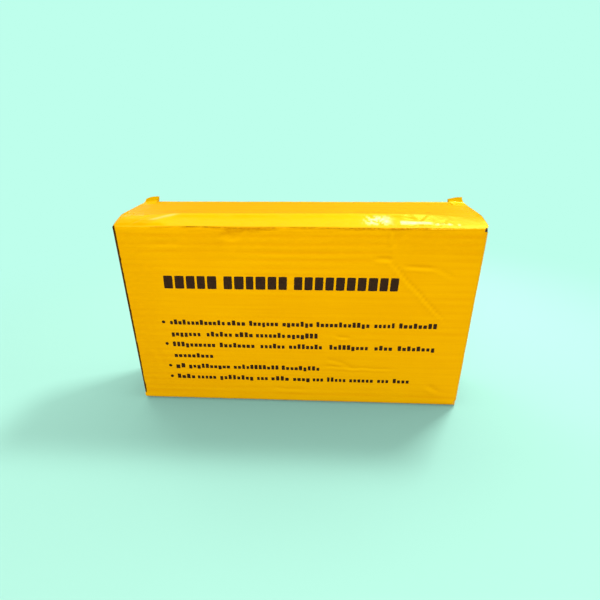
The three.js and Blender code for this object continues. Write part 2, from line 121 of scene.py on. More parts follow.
def segment_distance(x, z, x0, z0, x1, z1):
    """Distance from a segment, side of it, and how far along the nearest point is."""
    dx, dz = x1 - x0, z1 - z0
    t = positive(((x - x0) * dx + (z - z0) * dz) / (dx * dx + dz * dz))
    distance = np.hypot(x - (x0 + t * dx), z - (z0 + t * dz))
    return distance, np.sign((x - x0) * dz - (z - z0) * dx), t


def unit(vector):
    vector = np.asarray(vector, float)
    return vector / np.linalg.norm(vector)


def grid(x, y, z):
    """Points from three arrays that broadcast together."""
    return np.stack(np.broadcast_arrays(x, y, z), -1).astype(float)


def flutes(across, along, k):
    """The washboard that the flutes leave on a face, fading in and out along them."""
    depth = FLUTE_SHOW * (0.55 + 0.45 * NOISE[k](along / 55, across / 17))
    depth = depth * (0.75 + 0.5 * NOISE[k + 1](along / 11, across / 26))
    depth = depth * (0.6 + 0.5 * NOISE[k + 2](across / 3.4 + 9, along / 90))
    phase = 0.6 * NOISE[k + 3](along / 45, across / 22)
    return depth * np.cos(2 * np.pi * across / PITCH + phase)


def undulate(x, y, k):
    """Gentle unevenness of a face in three sizes."""
    return (0.11 * NOISE[k](x / 42, y / 27) + 0.045 * NOISE[k + 1](x / 15, y / 11)
            + 0.012 * NOISE[k + 2](x / 4.5, y / 3.5))


# ------------------------------------------------------------------ meshes
# The carton has settled out of square: its front is a little wider than its back.
def widening(z):
    return 0.62 + 0.38 * z / WARP_HEIGHT


def sideways(z):
    return 0.30 * (1 - z / WARP_HEIGHT)


def warp(x, y, z):
    return x + ease(11, 0.5, y) * ((x / HALF) * widening(z) - sideways(z))


def unwarp(x, z):
    """The x that warp() moves to x on the front face."""
    return (x + sideways(z)) / (1 + widening(z) / HALF)


def make(name, points, faces, materials, warped, face_materials=None, marks=None):
    points = np.array(points, float)
    if warped:
        points[:, 0] = warp(*points.T)
    points[:, 1] -= DEPTH / 2
    mesh = bpy.data.meshes.new(name)
    mesh.from_pydata((points / 1000.0).tolist(), [], faces.tolist())
    for material in materials:
        mesh.materials.append(material)
    if face_materials is not None:
        mesh.polygons.foreach_set("material_index", face_materials.astype(np.int32))
    for key, values in (marks or {}).items():
        attribute = mesh.attributes.new(key, "FLOAT", "POINT")
        attribute.data.foreach_set("value", np.asarray(values, np.float32))
    mesh.update()
    mesh.shade_smooth()
    mesh.set_sharp_from_angle(angle=math.radians(38))
    piece = bpy.data.objects.new(name, mesh)
    scene.collection.objects.link(piece)
    return piece


def settle(piece, body, *replaced, slot="printed_board"):
    """Tell the frame what the piece moves with and stands in for. What it is made of, slot, is not
    used.
    """
    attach(piece, body)
    if replaced:
        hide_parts(*replaced)


def boundary(mask):
    """Directed edges of the grid cells' outline, the cell on the left."""
    rows, cols = mask.shape
    padded = np.zeros((rows + 2, cols + 2), bool)
    padded[1:-1, 1:-1] = mask
    edges = []
    # neighbour's offset, then the corners of the cell where the shared edge starts and ends
    for di, dj, start, end in ((0, -1, (0, 0), (1, 0)), (1, 0, (1, 0), (1, 1)),
                               (0, 1, (1, 1), (0, 1)), (-1, 0, (0, 1), (0, 0))):
        neighbour = padded[1 + di:rows + 1 + di, 1 + dj:cols + 1 + dj]
        for i, j in zip(*np.nonzero(mask & ~neighbour)):
            edges.append(((i + start[0], j + start[1]), (i + end[0], j + end[1])))
    return edges


def edge_directions(edges, outer, outward):
    """At each boundary vertex, the direction out of the board in its own plane."""
    found = {}
    for start, end in edges:
        run = outer[end] - outer[start]
        away = np.cross(run / max(np.linalg.norm(run), 1e-9), (outward[start] + outward[end]) / 2)
        away = away / max(np.linalg.norm(away), 1e-9)
        found.setdefault(start, []).append(away)
        found.setdefault(end, []).append(away)
    return {v: (e[0] + e[1]) / max(1 + float(e[0] @ e[1]), 0.4) for v, e in found.items()}


def cut_chains(edges, cut):
    """Runs of boundary vertices along which the raw edge crosses the flutes."""
    following = dict(edges)
    inside = {v for v in following if cut[v] and cut[following[v]]}
    for start in [v for v in inside if not any(following.get(u) == v for u in inside)]:
        chain = [start]
        while chain[-1] in inside and following[chain[-1]] not in chain:
            chain.append(following[chain[-1]])
        yield chain


def medium(outer, inner, away, depth):
    """The corrugated sheet seen in a cut edge: a wavy ribbon's points and faces."""
    length = np.r_[0, np.cumsum(np.linalg.norm(np.diff(outer, axis=0), axis=1))]
    count = max(int(length[-1] / 0.28), 4)
    along = np.linspace(0.1, length[-1] - 0.1, count)

    def spread(values):
        return np.stack([np.interp(along, length, values[:, k]) for k in range(3)], 1)

    outer, inner, away = spread(outer), spread(inner), spread(away)
    depth = np.interp(along, length, depth)
    through = inner - outer
    thick = np.linalg.norm(through, axis=1)
    through = through / thick[:, None]
    upright = abs(outer[-1, 2] - outer[0, 2]) > 0.7 * length[-1]
    phase = 2 * np.pi * (outer[:, 2] if upright else along) / PITCH
    swing = thick / 2 - EDGE_LIP - 0.09
    middle = outer + through * (thick / 2 + swing * np.sin(phase))[:, None]
    tangent = np.gradient(middle, axis=0)
    tangent = tangent / np.linalg.norm(tangent, axis=1)[:, None]
    side = np.cross(tangent, away)
    side = side / np.linalg.norm(side, axis=1)[:, None] * 0.085
    front = middle - away * (0.06 + 0.05 * NOISE[9](along / 1.3, 3.3))[:, None]
    back = middle - away * (depth - 0.04)[:, None]
    section = np.stack([front + side, front - side, back - side, back + side], 1)
    points = section.reshape(-1, 3)
    ring = 4 * np.arange(count - 1)
    faces = np.concatenate([
        np.stack([ring + k, ring + 4 + k, ring + 4 + (k + 1) % 4, ring + (k + 1) % 4], 1)
        for k in range(4)] + [np.array([[0, 1, 2, 3], 4 * count - np.arange(1, 5)])])
    a, b, c = points[faces[0]][:3]
    if np.cross(b - a, c - b) @ (a - section[0].mean(0)) < 0:
        faces = faces[:, ::-1]
    return points, faces


def cross_gradient(points):
    return np.cross(np.gradient(points, axis=0), np.gradient(points, axis=1))


PRINT, KRAFT, EDGE, GROOVE = range(4)       # material slots of a board


def board(name, outer, inner, groove, lift, wear, dark=0.0, red=0.0, lift_in=0.0,
          mask=None, cut=None, warped=True, **marks):
    """A closed piece of fluted board between an outer and an inner grid of points.
    groove is how deep the medium sits back from a raw edge, at each grid point.
    lift and lift_in displace the two faces outwards. mask keeps grid cells. cut is true
    where a raw edge crosses the flutes. wear, the painted shade dark and red, and marks become
    attributes."""
    shape = outer.shape[:2]
    marks = {"wear": wear, "dark": dark, "red": red, **marks}
    marks = {key: np.broadcast_to(value, shape) for key, value in marks.items()}
    lift, lift_in = np.broadcast_to(lift, shape), np.broadcast_to(lift_in, shape)
    if mask is None:
        mask = np.ones((shape[0] - 1, shape[1] - 1), bool)
    if cut is None:
        cut = np.zeros(shape, bool)
    outward = outer - inner
    outward = outward / np.linalg.norm(outward, axis=2, keepdims=True)
    if np.median(np.einsum("ijk,ijk->ij", cross_gradient(outer), outward)) < 0:
        outer, inner, outward, mask, groove, lift, lift_in, cut = (
            values[::-1] for values in (outer, inner, outward, mask, groove, lift, lift_in, cut))
        marks = {key: value[::-1] for key, value in marks.items()}
    normal = cross_gradient(outer)
    size = np.linalg.norm(normal, axis=2, keepdims=True)
    normal = np.where(size > 1e-9, normal / np.maximum(size, 1e-9), outward)
    face_out = outer + normal * lift[..., None]
    face_in = inner - normal * lift_in[..., None]

    # the two faces
    i, j = np.nonzero(mask)
    used = np.zeros(shape, bool)
    for di, dj in ((0, 0), (1, 0), (1, 1), (0, 1)):
        used[i + di, j + dj] = True
    count = int(used.sum())
    index = -np.ones(shape, int)
    index[used] = np.arange(count)
    quads = np.stack([index[i, j], index[i + 1, j], index[i + 1, j + 1], index[i, j + 1]], 1)
    points = [face_out[used], face_in[used]]
    faces = [quads, (quads + count)[:, ::-1]]
    slots = [np.full(len(quads), PRINT), np.full(len(quads), KRAFT)]
    values = {key: [value[used], value[used]] for key, value in marks.items()}

    # walls round the outline: two liner lips with the sunken flutes between them
    edges = boundary(mask)
    away = edge_directions(edges, outer, outward)
    wall, rows = {}, []
    for v in away:
        through = face_in[v] - face_out[v]
        thick = np.linalg.norm(through)
        through = through / thick
        lip = min(EDGE_LIP, thick * 0.28)
        sunk = away[v] * groove[v]
        wall[v] = 2 * count + len(rows)
        rows += [face_out[v] + through * lip, face_out[v] + through * (lip + 0.03) - sunk,
                 face_in[v] - through * (lip + 0.03) - sunk, face_in[v] - through * lip]
    points.append(np.array(rows))
    for key in marks:
        values[key].append(np.repeat([marks[key][v] for v in wall], 4))
    wall_faces, wall_slots = [], []
    for start, end in edges:
        near, far = ([index[v], *range(wall[v], wall[v] + 4), index[v] + count]
                     for v in (start, end))
        closed = groove[start] < 0.05 and groove[end] < 0.05     # printed liner, rolled over
        for k, slot in enumerate((EDGE, GROOVE, GROOVE, GROOVE, EDGE)):
            wall_faces.append([far[k], near[k], near[k + 1], far[k + 1]])
            wall_slots.append(PRINT if closed else slot)
    faces.append(np.array(wall_faces))
    slots.append(np.array(wall_slots))

    total = 2 * count + len(rows)
    for chain in cut_chains(edges, cut):
        ribbon, ribbon_faces = medium(*(np.array([part[v] for v in chain])
                                        for part in (face_out, face_in, away, groove)))
        points.append(ribbon)
        faces.append(ribbon_faces + total)
        slots.append(np.full(len(ribbon_faces), EDGE))
        for key in marks:
            values[key].append(np.zeros(len(ribbon)))
        total += len(ribbon)
    return make(name, np.concatenate(points), np.concatenate(faces), BOARD_MATERIALS, warped,
                np.concatenate(slots), {k: np.concatenate(v) for k, v in values.items()})


def end_grooves(shape, depth, rows=(0, -1)):
    """Grooves on a crease's raw ends only."""
    groove = np.zeros(shape)
    for row in rows:
        groove[row, 1:-1] = depth
    return groove


def end_rows(shape):
    cut = np.zeros(shape, bool)
    cut[[0, -1]] = True
    return cut


def slabs(name, items, material, warped=False):
    """Small closed slabs in one mesh. items: (front grid, back grid) pairs."""
    points, faces, total = [], [], 0
    for front, back in items:
        rows, cols = front.shape[:2]
        n = rows * cols
        index = np.arange(n).reshape(rows, cols)
        quads = np.stack([index[:-1, :-1], index[1:, :-1], index[1:, 1:], index[:-1, 1:]],
                         -1).reshape(-1, 4)
        rim = np.r_[index[:, 0], index[-1, 1:], index[-2::-1, -1], index[0, -2:0:-1]]
        after = np.roll(rim, -1)
        walls = np.stack([after, rim, rim + n, after + n], 1)
        part = np.concatenate([quads, (quads + n)[:, ::-1], walls])
        facing = np.cross(front[-1, 0] - front[0, 0], front[0, -1] - front[0, 0])
        if facing @ (front - back).reshape(-1, 3).mean(0) < 0:
            part = part[:, ::-1]
        points += [front.reshape(-1, 3), back.reshape(-1, 3)]
        faces.append(part + total)
        total += 2 * n
    return make(name, np.concatenate(points), np.concatenate(faces), [material], warped)


# ------------------------------------------------------------------ shader nodes
class Shader:
    """Wires the node tree of a material or a world."""

    def __init__(self, owner, output):
        owner.use_nodes = True
        self.tree = owner.node_tree
        self.tree.nodes.clear()
        self.output = self.node(output).inputs["Surface"]

    def node(self, kind, *values, **named):
        """Values fill the inputs in turn. Capitalised names are inputs, others settings."""
        made = self.tree.nodes.new("ShaderNode" + kind)
        for key, value in named.items():
            if key[0].isupper():
                self.put(made.inputs[key.replace("_", " ")], value)
            else:
                setattr(made, key, value)
        for socket, value in zip(made.inputs, values):
            self.put(socket, value)
        return made

    def put(self, socket, value):
        if isinstance(value, bpy.types.NodeSocket):
            self.tree.links.new(value, socket)
        elif socket.type == "RGBA":
            socket.default_value = (*value, 1)
        else:
            socket.default_value = value

    def mix_shader(self, factor, first, second):
        return self.node("MixShader", factor, first.outputs[0], second.outputs[0])


class Paint(Shader):
    """A material with one Principled shader, textured in object coordinates."""

    def __init__(self, name):
        self.material = bpy.data.materials.new(name)
        super().__init__(self.material, "OutputMaterial")
        self.coord = self.node("TexCoord").outputs["Object"]

    def scaled(self, scale):
        return self.node("VectorMath", self.coord, scale, operation="MULTIPLY").outputs[0]

    def noise(self, scale, detail=3, rough=0.6, stretch=(1, 1, 1), distort=0.0):
        return self.node("TexNoise", Vector=self.scaled(stretch), Scale=scale, Detail=detail,
                         Roughness=rough, Distortion=distort).outputs["Fac"]

    def ramp(self, factor, low, high, start=0.0, end=1.0):
        """Grey from start at low to end at high."""
        made = self.node("ValToRGB", Fac=factor)
        stops = ((low, start), (high, end))
        for element, (position, grey) in zip(made.color_ramp.elements, stops):
            element.position = position
            element.color = (grey, grey, grey, 1)
        return made.outputs["Color"]

    def attribute(self, name):
        return self.node("Attribute", attribute_name=name).outputs["Fac"]

    def math(self, operation, first, second=0.0, clamp=False):
        return self.node("Math", first, second, operation=operation, use_clamp=clamp).outputs[0]

    def mix(self, factor, first, second):
        made = self.node("Mix", factor, data_type="RGBA")
        self.put(made.inputs[6], first)
        self.put(made.inputs[7], second)
        return made.outputs[2]

    def tint(self, color, where, amount, other, clamp=False):
        """Blend color towards other by where times amount."""
        return self.mix(self.math("MULTIPLY", where, amount, clamp), color, other)

    def lerp(self, factor, first, second):
        made = self.node("Mix", factor, data_type="FLOAT")
        self.put(made.inputs[2], first)
        self.put(made.inputs[3], second)
        return made.outputs[0]

    def bump(self, height, strength, distance, **normal):
        return self.node("Bump", Strength=strength, Distance=distance, Height=height,
                         **normal).outputs[0]

    def ragged(self, amount, noise, spread, threshold, gain):
        """Cut an attribute off at a threshold that noise makes uneven."""
        uneven = self.math("MULTIPLY", self.math("SUBTRACT", noise, 0.5), spread)
        over = self.math("SUBTRACT", self.math("ADD", amount, uneven), threshold)
        over = self.math("MULTIPLY", over, gain, clamp=True)
        return self.math("MULTIPLY", over, self.math("GREATER_THAN", amount, 0.02))

    def finish(self, **inputs):
        self.put(self.output, self.node("BsdfPrincipled", **inputs).outputs[0])
        return self.material


# ------------------------------------------------------------------ board materials
def printed_board():
    m = Paint("printed_board")
    broad = m.noise(28, rough=0.5)
    fine = m.noise(900, detail=4, rough=0.65, stretch=(1, 1, 1.6))
    fibre = m.noise(420, detail=5, rough=0.7, stretch=(0.28, 1, 1.7), distort=0.4)
    color = m.mix(m.ramp(broad, 0.3, 0.72), (0.835, 0.420, 0.0), (0.865, 0.456, 0.0))
    color = m.tint(color, m.ramp(fibre, 0.55, 0.9), 0.30, (0.80, 0.33, 0.0))
    specks = m.ramp(m.noise(1500, detail=2, rough=0.5), 0.74, 0.80)
    color = m.tint(color, specks, 0.25, (1.0, 0.62, 0.12))
    streaks = m.noise(1000, detail=4, rough=0.7, stretch=(0.022, 1, 1), distort=0.15)
    color = m.tint(color, m.ramp(streaks, 0.50, 0.72), 0.42, (0.765, 0.355, 0.0))
    color = m.tint(color, m.ramp(streaks, 0.28, 0.46, 1.0, 0.0), 0.35, (0.90, 0.50, 0.0))
    # painted shade in the flutes' valleys and painted highlight on their crests
    band = m.attribute("band")
    color = m.tint(color, band, -0.62, (0.76, 0.325, 0.0), clamp=True)
    color = m.tint(color, band, 0.35, (0.93, 0.51, 0.0), clamp=True)
    # gloss: a shinier coat and metal finish, and a painted sheen that lightens the colour on the
    # lid's slope and ears
    gloss = m.attribute("gloss")
    color = m.tint(color, gloss, 0.50, (0.98, 0.62, 0.0))
    # painted light and shade on the sides of the dents, lighter where they face up and duller
    # where they face down
    tone = m.attribute("tone")
    color = m.tint(color, tone, 0.55, (1.0, 0.56, 0.0), clamp=True)
    color = m.tint(color, tone, -0.60, (0.60, 0.25, 0.0), clamp=True)
    # painted highlights: pale glints on the lid's slope
    patchy = m.ramp(m.noise(1300, stretch=(0.6, 1, 1)), 0.30, 0.6, start=0.55)
    color = m.tint(color, m.attribute("pale"), patchy, (1.0, 0.92, 0.42))
    cracks = m.noise(2600, detail=4, rough=0.7, distort=0.6)
    worn = m.ragged(m.attribute("wear"), cracks, spread=1.1, threshold=0.5, gain=6.0)
    color = m.mix(worn, color, (0.62, 0.36, 0.13))
    # dark: painted shade along raw edges, where the flutes' openings lie in shadow, and a painted
    # shadow line in the top crease's score
    smudges = m.noise(1100, detail=4, rough=0.75, stretch=(0.35, 1, 1))
    dark = m.ragged(m.attribute("dark"), smudges, spread=0.9, threshold=0.45, gain=4.0)
    color = m.mix(dark, color, (0.045, 0.018, 0.004))
    # the reddish mark: painted shade under the top crease, along the score and towards the front's
    # left and top edges
    patchy = m.ramp(m.noise(700, stretch=(0.5, 1, 1)), 0.35, 0.6, start=0.35)
    color = m.tint(color, m.attribute("red"), patchy, (0.42, 0.13, 0.0))
    rough = m.lerp(m.ramp(m.noise(60, detail=4), 0.3, 0.7), 0.34, 0.44)
    rough = m.lerp(worn, rough, 0.85)
    rough = m.lerp(dark, rough, 0.8)
    relief = m.bump(fine, strength=0.16, distance=0.00006)
    relief = m.bump(fibre, strength=0.22, distance=0.00010, Normal=relief)
    relief = m.bump(m.math("ADD", dark, worn), strength=0.4, distance=0.00008, Normal=relief)
    # the print throws almost no colour on its surroundings
    diffuse_ray = m.node("LightPath").outputs["Is Diffuse Ray"]
    color = m.mix(diffuse_ray, color, (0.06, 0.06, 0.06))
    return m.finish(Base_Color=color, Roughness=rough, Normal=relief,
                    Specular_IOR_Level=0.06, Specular_Tint=(1.0, 0.72, 0.06),
                    Metallic=m.lerp(gloss, 0.08, 0.14), Coat_Weight=m.lerp(gloss, 0.0, 0.05),
                    Coat_Roughness=0.13, Coat_IOR=1.4)


def kraft_liner():
    m = Paint("kraft_liner")
    fibre = m.noise(260, detail=6, rough=0.72, stretch=(0.25, 1, 1.6), distort=0.8)
    specks = m.noise(1400)
    color = m.mix(m.ramp(fibre, 0.3, 0.72), (0.30, 0.165, 0.07), (0.44, 0.27, 0.125))
    color = m.tint(color, m.ramp(specks, 0.62, 0.78), 0.5, (0.17, 0.085, 0.035))
    relief = m.bump(specks, strength=0.35, distance=0.00008)
    relief = m.bump(fibre, strength=0.4, distance=0.00014, Normal=relief)
    return m.finish(Base_Color=color, Roughness=0.88, Normal=relief,
                    Specular_IOR_Level=0.25, Sheen_Weight=0.12)


def matt(name, dark, light):
    m = Paint(name)
    fibre = m.noise(1900, detail=5, rough=0.7, distort=0.5)
    blotches = m.noise(230)
    color = m.mix(m.ramp(fibre, 0.32, 0.68), dark, light)
    color = m.tint(color, m.ramp(blotches, 0.4, 0.7), 0.5, tuple(c * 0.55 for c in dark))
    return m.finish(Base_Color=color, Roughness=0.95, Specular_IOR_Level=0.15,
                    Normal=m.bump(fibre, strength=0.6, distance=0.0001))


def print_ink():
    m = Paint("print_ink")
    grain = m.noise(1500, detail=4, rough=0.65)
    color = m.mix(m.ramp(grain, 0.3, 0.75), (0.014, 0.006, 0.002), (0.045, 0.018, 0.003))
    return m.finish(Base_Color=color, Roughness=m.lerp(grain, 0.32, 0.5),
                    Normal=m.bump(grain, strength=0.15, distance=0.00005),
                    Specular_IOR_Level=0.12)


BOARD_MATERIALS = [
    printed_board(), kraft_liner(),
    matt("board_edge_liner", (0.22, 0.10, 0.03), (0.40, 0.22, 0.08)),
    matt("board_edge_flute", (0.035, 0.017, 0.008), (0.11, 0.055, 0.022)),
]
INK = print_ink()

# ------------------------------------------------------------------ front face
# Dents and creases in the front panel: x, z of one end, x, z of the other, depth, width
DENTS = [
    (-27.5, 88, -26.0, 80.5, 0.20, 2.4), (-22, 87, -24, 82, 0.10, 1.4),
    (39.0, 87, 38.6, 78.6, 0.22, 0.7), (44, 87, 43, 83, 0.10, 1.2),
    (32, 74.0, 39, 73.5, 0.14, 0.9), (43, 70.6, 57, 70.0, 0.14, 0.8),
    (37.0, 73.6, 64, 45.0, 0.12, 0.75), (57, 70, 64.5, 66.2, 0.07, 0.9),
    (17, 37.0, 23, 36.6, 0.12, 0.7), (13, 25.6, 26, 20.6, 0.09, 0.9),
    (10, 20.9, 45, 20.5, 0.09, 0.6), (-60, 79, -48, 80.2, 0.06, 1.3),
    (-66, 30, -63, 18, 0.08, 1.2), (60, 12, 66, 8.6, 0.14, 1.2), (-12, 8.2, 4, 7.6, 0.05, 0.9),
]


def flute_tips(z):
    return np.cos(2 * np.pi * z / PITCH + 0.5)


def raw_step(x, z):
    """Along the raw left edge the outer liner ends short, and the flutes' tips show."""
    edge = (-74.0 - 0.12 * ease(60, 10, z) + 0.10 * NOISE[9](z / 1.1, 4.0)
            + 0.07 * NOISE[10](z / 4.3, 1.0))
    tips = 0.16 * np.clip(flute_tips(z), -0.2, 1) * ease(-74.95, -74.6, x)
    return ease(edge + 0.07, edge - 0.07, x) * (0.40 - tips)


def dents(x, z):
    total = np.zeros(np.broadcast(x, z).shape)
    for x0, z0, x1, z1, depth, width in DENTS:
        distance, side, t = segment_distance(x + 0.5 * NOISE[7](x / 5, z / 5),
                                             z + 0.4 * NOISE[8](x / 5, z / 5), x0, z0, x1, z1)
        fade = window(t, 0, 0.22, 0.78, 1) * 0.75 + 0.25
        lip = bell(distance - 1.9 * width, width) * (side > 0)
        total = total - depth * fade * (bell(distance, width) - 0.5 * lip)
    return total


def front_lift(x, z):
    """Outward displacement of the front panel's face."""
    inside = ease(0, 5, 86.3 - z) * ease(0, 4, z - 2) * ease(0, 3.5, HALF - np.abs(x))
    lift = (flutes(z, x, 0) + undulate(x, z, 4)) * (0.25 + 0.75 * inside) - raw_step(x, z)
    bulge = 0.16 * np.cos(np.pi * x / 160) * np.cos(np.pi * (z - 44) / 100) * inside
    return lift + bulge + dents(x, z)


# ------------------------------------------------------------------ carton tube
def tube_path():
    """Plan of the skin round the four panels, from the front panel's raw left edge to the
    glue flap behind it. Columns: outer x, y, inward normal x, y, thickness. Also gives
    where the front panel's points end and where the glue flap's start."""
    points = []
    right, back = HALF - FOLD_RADIUS, DEPTH - FOLD_RADIUS

    def line(xs, ys, inward, thick=BOARD):
        points.extend((x, y, *inward, thick) for x, y in zip(*np.broadcast_arrays(xs, ys)))

    def turn(x, y, radius, start, thick=1.5):
        for k in range(1, 7):
            a = math.radians(start + 90 * k / 7)
            points.append((x + radius * math.cos(a), y + radius * math.sin(a),
                           -math.cos(a), -math.sin(a), thick))

    line(np.r_[-75, -74.75, -74.5, -74.3, -74.14, -74.02, -73.9, -73.78, -73.5, -73.1,
               np.linspace(-72.3, right, 116)], 0, (0, 1))
    front_end = len(points)
    turn(right, FOLD_RADIUS, FOLD_RADIUS, -90)
    line(HALF, np.r_[FOLD_RADIUS, 2.6, 4.0, 5.4, 6.6, 7.8, 8.6, 9.3, 9.75,
                     np.arange(11, 31.2, 1.15), 31.42, 31.7, back], (-1, 0))
    turn(right, back, FOLD_RADIUS, 0)
    line(np.r_[right, 71.5, 69.8, 68.6, 67.9, 67.5, np.linspace(66, -66, 106),
               -67.5, -67.9, -68.6, -69.8, -71.5, -right], DEPTH, (0, -1))
    turn(-right, back, FOLD_RADIUS, 90)
    line(-HALF, np.r_[back, 31.7, 31.42, np.arange(31.2, 10.6, -1.15),
                      9.75, 9.3, 8.6, 7.8, 6.6, 5.4, 4.3, 3.4], (1, 0))
    flap_start = len(points)
    turn(FLAP_RADIUS - HALF, 1.68 + FLAP_RADIUS, FLAP_RADIUS, 180, 1.4)
    line(np.linspace(FLAP_RADIUS - HALF, -60, 12), 1.68, (0, 1), 1.45)
    return np.array(points), front_end, flap_start


def tube_heights(i, x, y, front_end, flap_start):
    """Outer top, inner top, outer bottom and inner bottom at a point of the path."""
    if i >= flap_start:
        if i < flap_start + 6:                              # glue flap's fold
            t = (i - flap_start) / 6
            top, bottom = 84.9 + (83 - 84.9) * t, 3.3 + 1.7 * t
        else:
            t = (x + HALF - FLAP_RADIUS) / (15 - FLAP_RADIUS)
            top, bottom = 83 - 3 * t, 5 + 3 * t
        return top, top, bottom, bottom
    if i < front_end:
        return 85.34, 84.26, 3.0, 4.6
    if abs(x) < HALF - FOLD_RADIUS + 1e-6 and y > 20:       # back panel
        bottom = 0.8 if abs(x) < 67.7 else 1.9
        return 89.2, 89.2, bottom, bottom
    if y < FOLD_RADIUS + 1e-6:                              # front right fold
        t = (i - front_end + 1) / 7
        return 85.34 + (84.9 - 85.34) * t, 84.26 + (84.9 - 84.26) * t, 3.0 + 0.2 * t, 4.6 - 1.4 * t
    if y > DEPTH - FOLD_RADIUS - 1e-6:                      # back folds
        top = 87.95 + 1.25 * (y - (DEPTH - FOLD_RADIUS)) / FOLD_RADIUS
        return top, top, 1.9, 1.9
    if 9.7 < y < 31.5:                                      # dust flap creases
        return 87.2, 85.6, 2.8, 4.4
    if y <= 9.7:                                            # under the lid's slope
        top = np.interp(y, [1.6, 4.0, 8.6, 9.4], [84.9, 85.95, 87.75, 87.75])
        return (top, top, np.interp(y, [1.7, 3.6, 4.2], [3.2, 2.4, 2.8]),
                np.interp(y, [1.7, 4.2, 4.6], [3.2, 2.6, 4.4]))
    return 87.95, 87.95, 1.9, 1.9


def build_tube():
    path, front_end, flap_start = tube_path()
    number = np.arange(len(path))[:, None]
    path_x, path_y, in_x, in_y, thick = (path[:, k:k + 1] for k in range(5))
    heights = np.array([tube_heights(i, x, y, front_end, flap_start)
                        for i, (x, y) in enumerate(path[:, :2])])
    top_out, top_in, low_out, low_in = (heights[:, k:k + 1] for k in range(4))
    f = np.linspace(0, 1, 150)
    f = np.r_[0, 0.0035, f[1:-1], 0.9965, 1]
    z, z_in = low_out + (top_out - low_out) * f, low_in + (top_in - low_in) * f
    outer = grid(path_x, path_y, z)
    inner = grid(path_x + in_x * thick, path_y + in_y * thick, z_in)
    round_ = np.r_[0, np.cumsum(np.hypot(np.diff(path[:, 0]), np.diff(path[:, 1])))][:, None]
    x = round_ - HALF           # on the front panel, its x

    # displacement: the front's own, passing into the side's round the fold
    side = flutes(z, round_, 1) + undulate(round_, z, 5)
    side *= 0.25 + 0.75 * ease(0, 5, top_out - z) * ease(0, 4, z - 2)
    past_front = ease(front_end - 1, front_end + 9, number)
    lift = front_lift(x, z) * (1 - past_front) + side * past_front
    corner = bell(np.minimum.reduce([
        np.hypot(path_x - cx, path_y - cy)
        for cx, cy in ((HALF, 0), (HALF, DEPTH), (-HALF, DEPTH))]), 1.3)
    corner[flap_start:] = 0.0
    # folds are crushed a little, and their edges carry small nicks
    nicks = positive(NOISE[3](z / 2.2, 3.0) - 0.35)
    lift = lift - corner * (0.10 + 0.22 * nicks + 0.05 * NOISE[6](z / 6, 1.0))
    lift[flap_start:] = 0.0
    lift_in = 0.5 * (flutes(z_in, round_ + 300, 1) + 0.4 * undulate(round_ + 200, z_in, 5))
    lift_in[flap_start:] *= 0.2

    # wear along folds and raw edges
    at_left = round_ < 3
    wear = corner * (0.16 + 0.34 * positive(NOISE[10](round_ / 2, z / 5)))
    wear = np.maximum(wear, bell(round_, 0.5) * at_left * 0.55)
    raw_top = (path_y > 20) & (number < flap_start)
    wear = np.maximum(wear, np.where(raw_top, bell(top_out - z, 0.35) * 0.5, 0))
    # painted shade: the raw left edge is darkened where its flutes' openings lie in shadow
    dark = positive(raw_step(x, z) * at_left * 4.0) * (1.0 - 0.12 * positive(flute_tips(z)))
    # painted shade in the flutes' valleys and painted highlight on their crests, from the flute
    # relief
    band = np.where(number < front_end + 9, flutes(z, x, 0), flutes(z, round_, 1))
    band = band / FLUTE_SHOW * (1 - corner)
    # painted shade, reddish: under the top crease and towards the front's left and top edges
    under = (0.85 * ease(-34, -28, x) * (0.35 + 0.65 * ease(-12, -20, x)) * ease(0, -12, x)
             * ease(81.8, 85.0, z + 1.2 * NOISE[5](x / 4, z / 3))
             * (0.55 + 0.45 * NOISE[6](x / 5, z / 2)))
    along_top = (0.22 * ease(83.6, 85.2, z) * window(x, -54, -50, 58, 66)
                 * (0.6 + 0.4 * NOISE[6](x / 7, 0.3)))
    red = np.maximum(np.maximum(under, along_top),
                     np.maximum(0.13 * ease(-46, -72, x), 0.09 * ease(70, 80, z)))
    red = red * (round_ < 160)
    # painted light and shade: lighter where a dent turns up to the light, and duller where it
    # turns down
    step = 0.3
    tone = (-(dents(x, z + step) - dents(x, z - step)) / 0.6
            - 0.45 * (dents(x + step, z) - dents(x - step, z)) / 0.6)
    tone = np.where(number < front_end + 2, np.clip(tone * 4.5, -1, 1), 0)

    groove = np.full(z.shape, 0.45)
    groove[:front_end] = 0.0
    on_side = np.abs(np.abs(path[:, 0]) - HALF) < 1e-6
    groove[on_side & (9.7 < path[:, 1]) & (path[:, 1] < 31.5)] = 0.0
    groove[0], groove[-1] = 0.7, 0.4
    tube = board("carton_tube_board", outer, inner, groove, lift, wear, dark, red, lift_in,
                 cut=end_rows(z.shape), band=band, tone=tone)
    settle(tube, "carton", "carton_front_panel", "carton_back_panel", "carton_left_side_panel",
           "carton_right_side_panel", "carton_glue_flap")


# ------------------------------------------------------------------ creases
Fold = namedtuple("Fold", "outer inner start end")


def bezier(start, control, end, count):
    t = np.linspace(0, 1, count)[:, None]
    return (1 - t) ** 2 * start + 2 * t * (1 - t) * control + t * t * end


def resample(points, count, at=None):
    """Points evenly spread over a polyline, or over the stations given."""
    if at is None:
        at = np.r_[0, np.cumsum(np.linalg.norm(np.diff(points, axis=0), axis=1))]
    s = np.linspace(0, at[-1], count)
    return np.stack([np.interp(s, at, points[:, c]) for c in (0, 1)], 1)


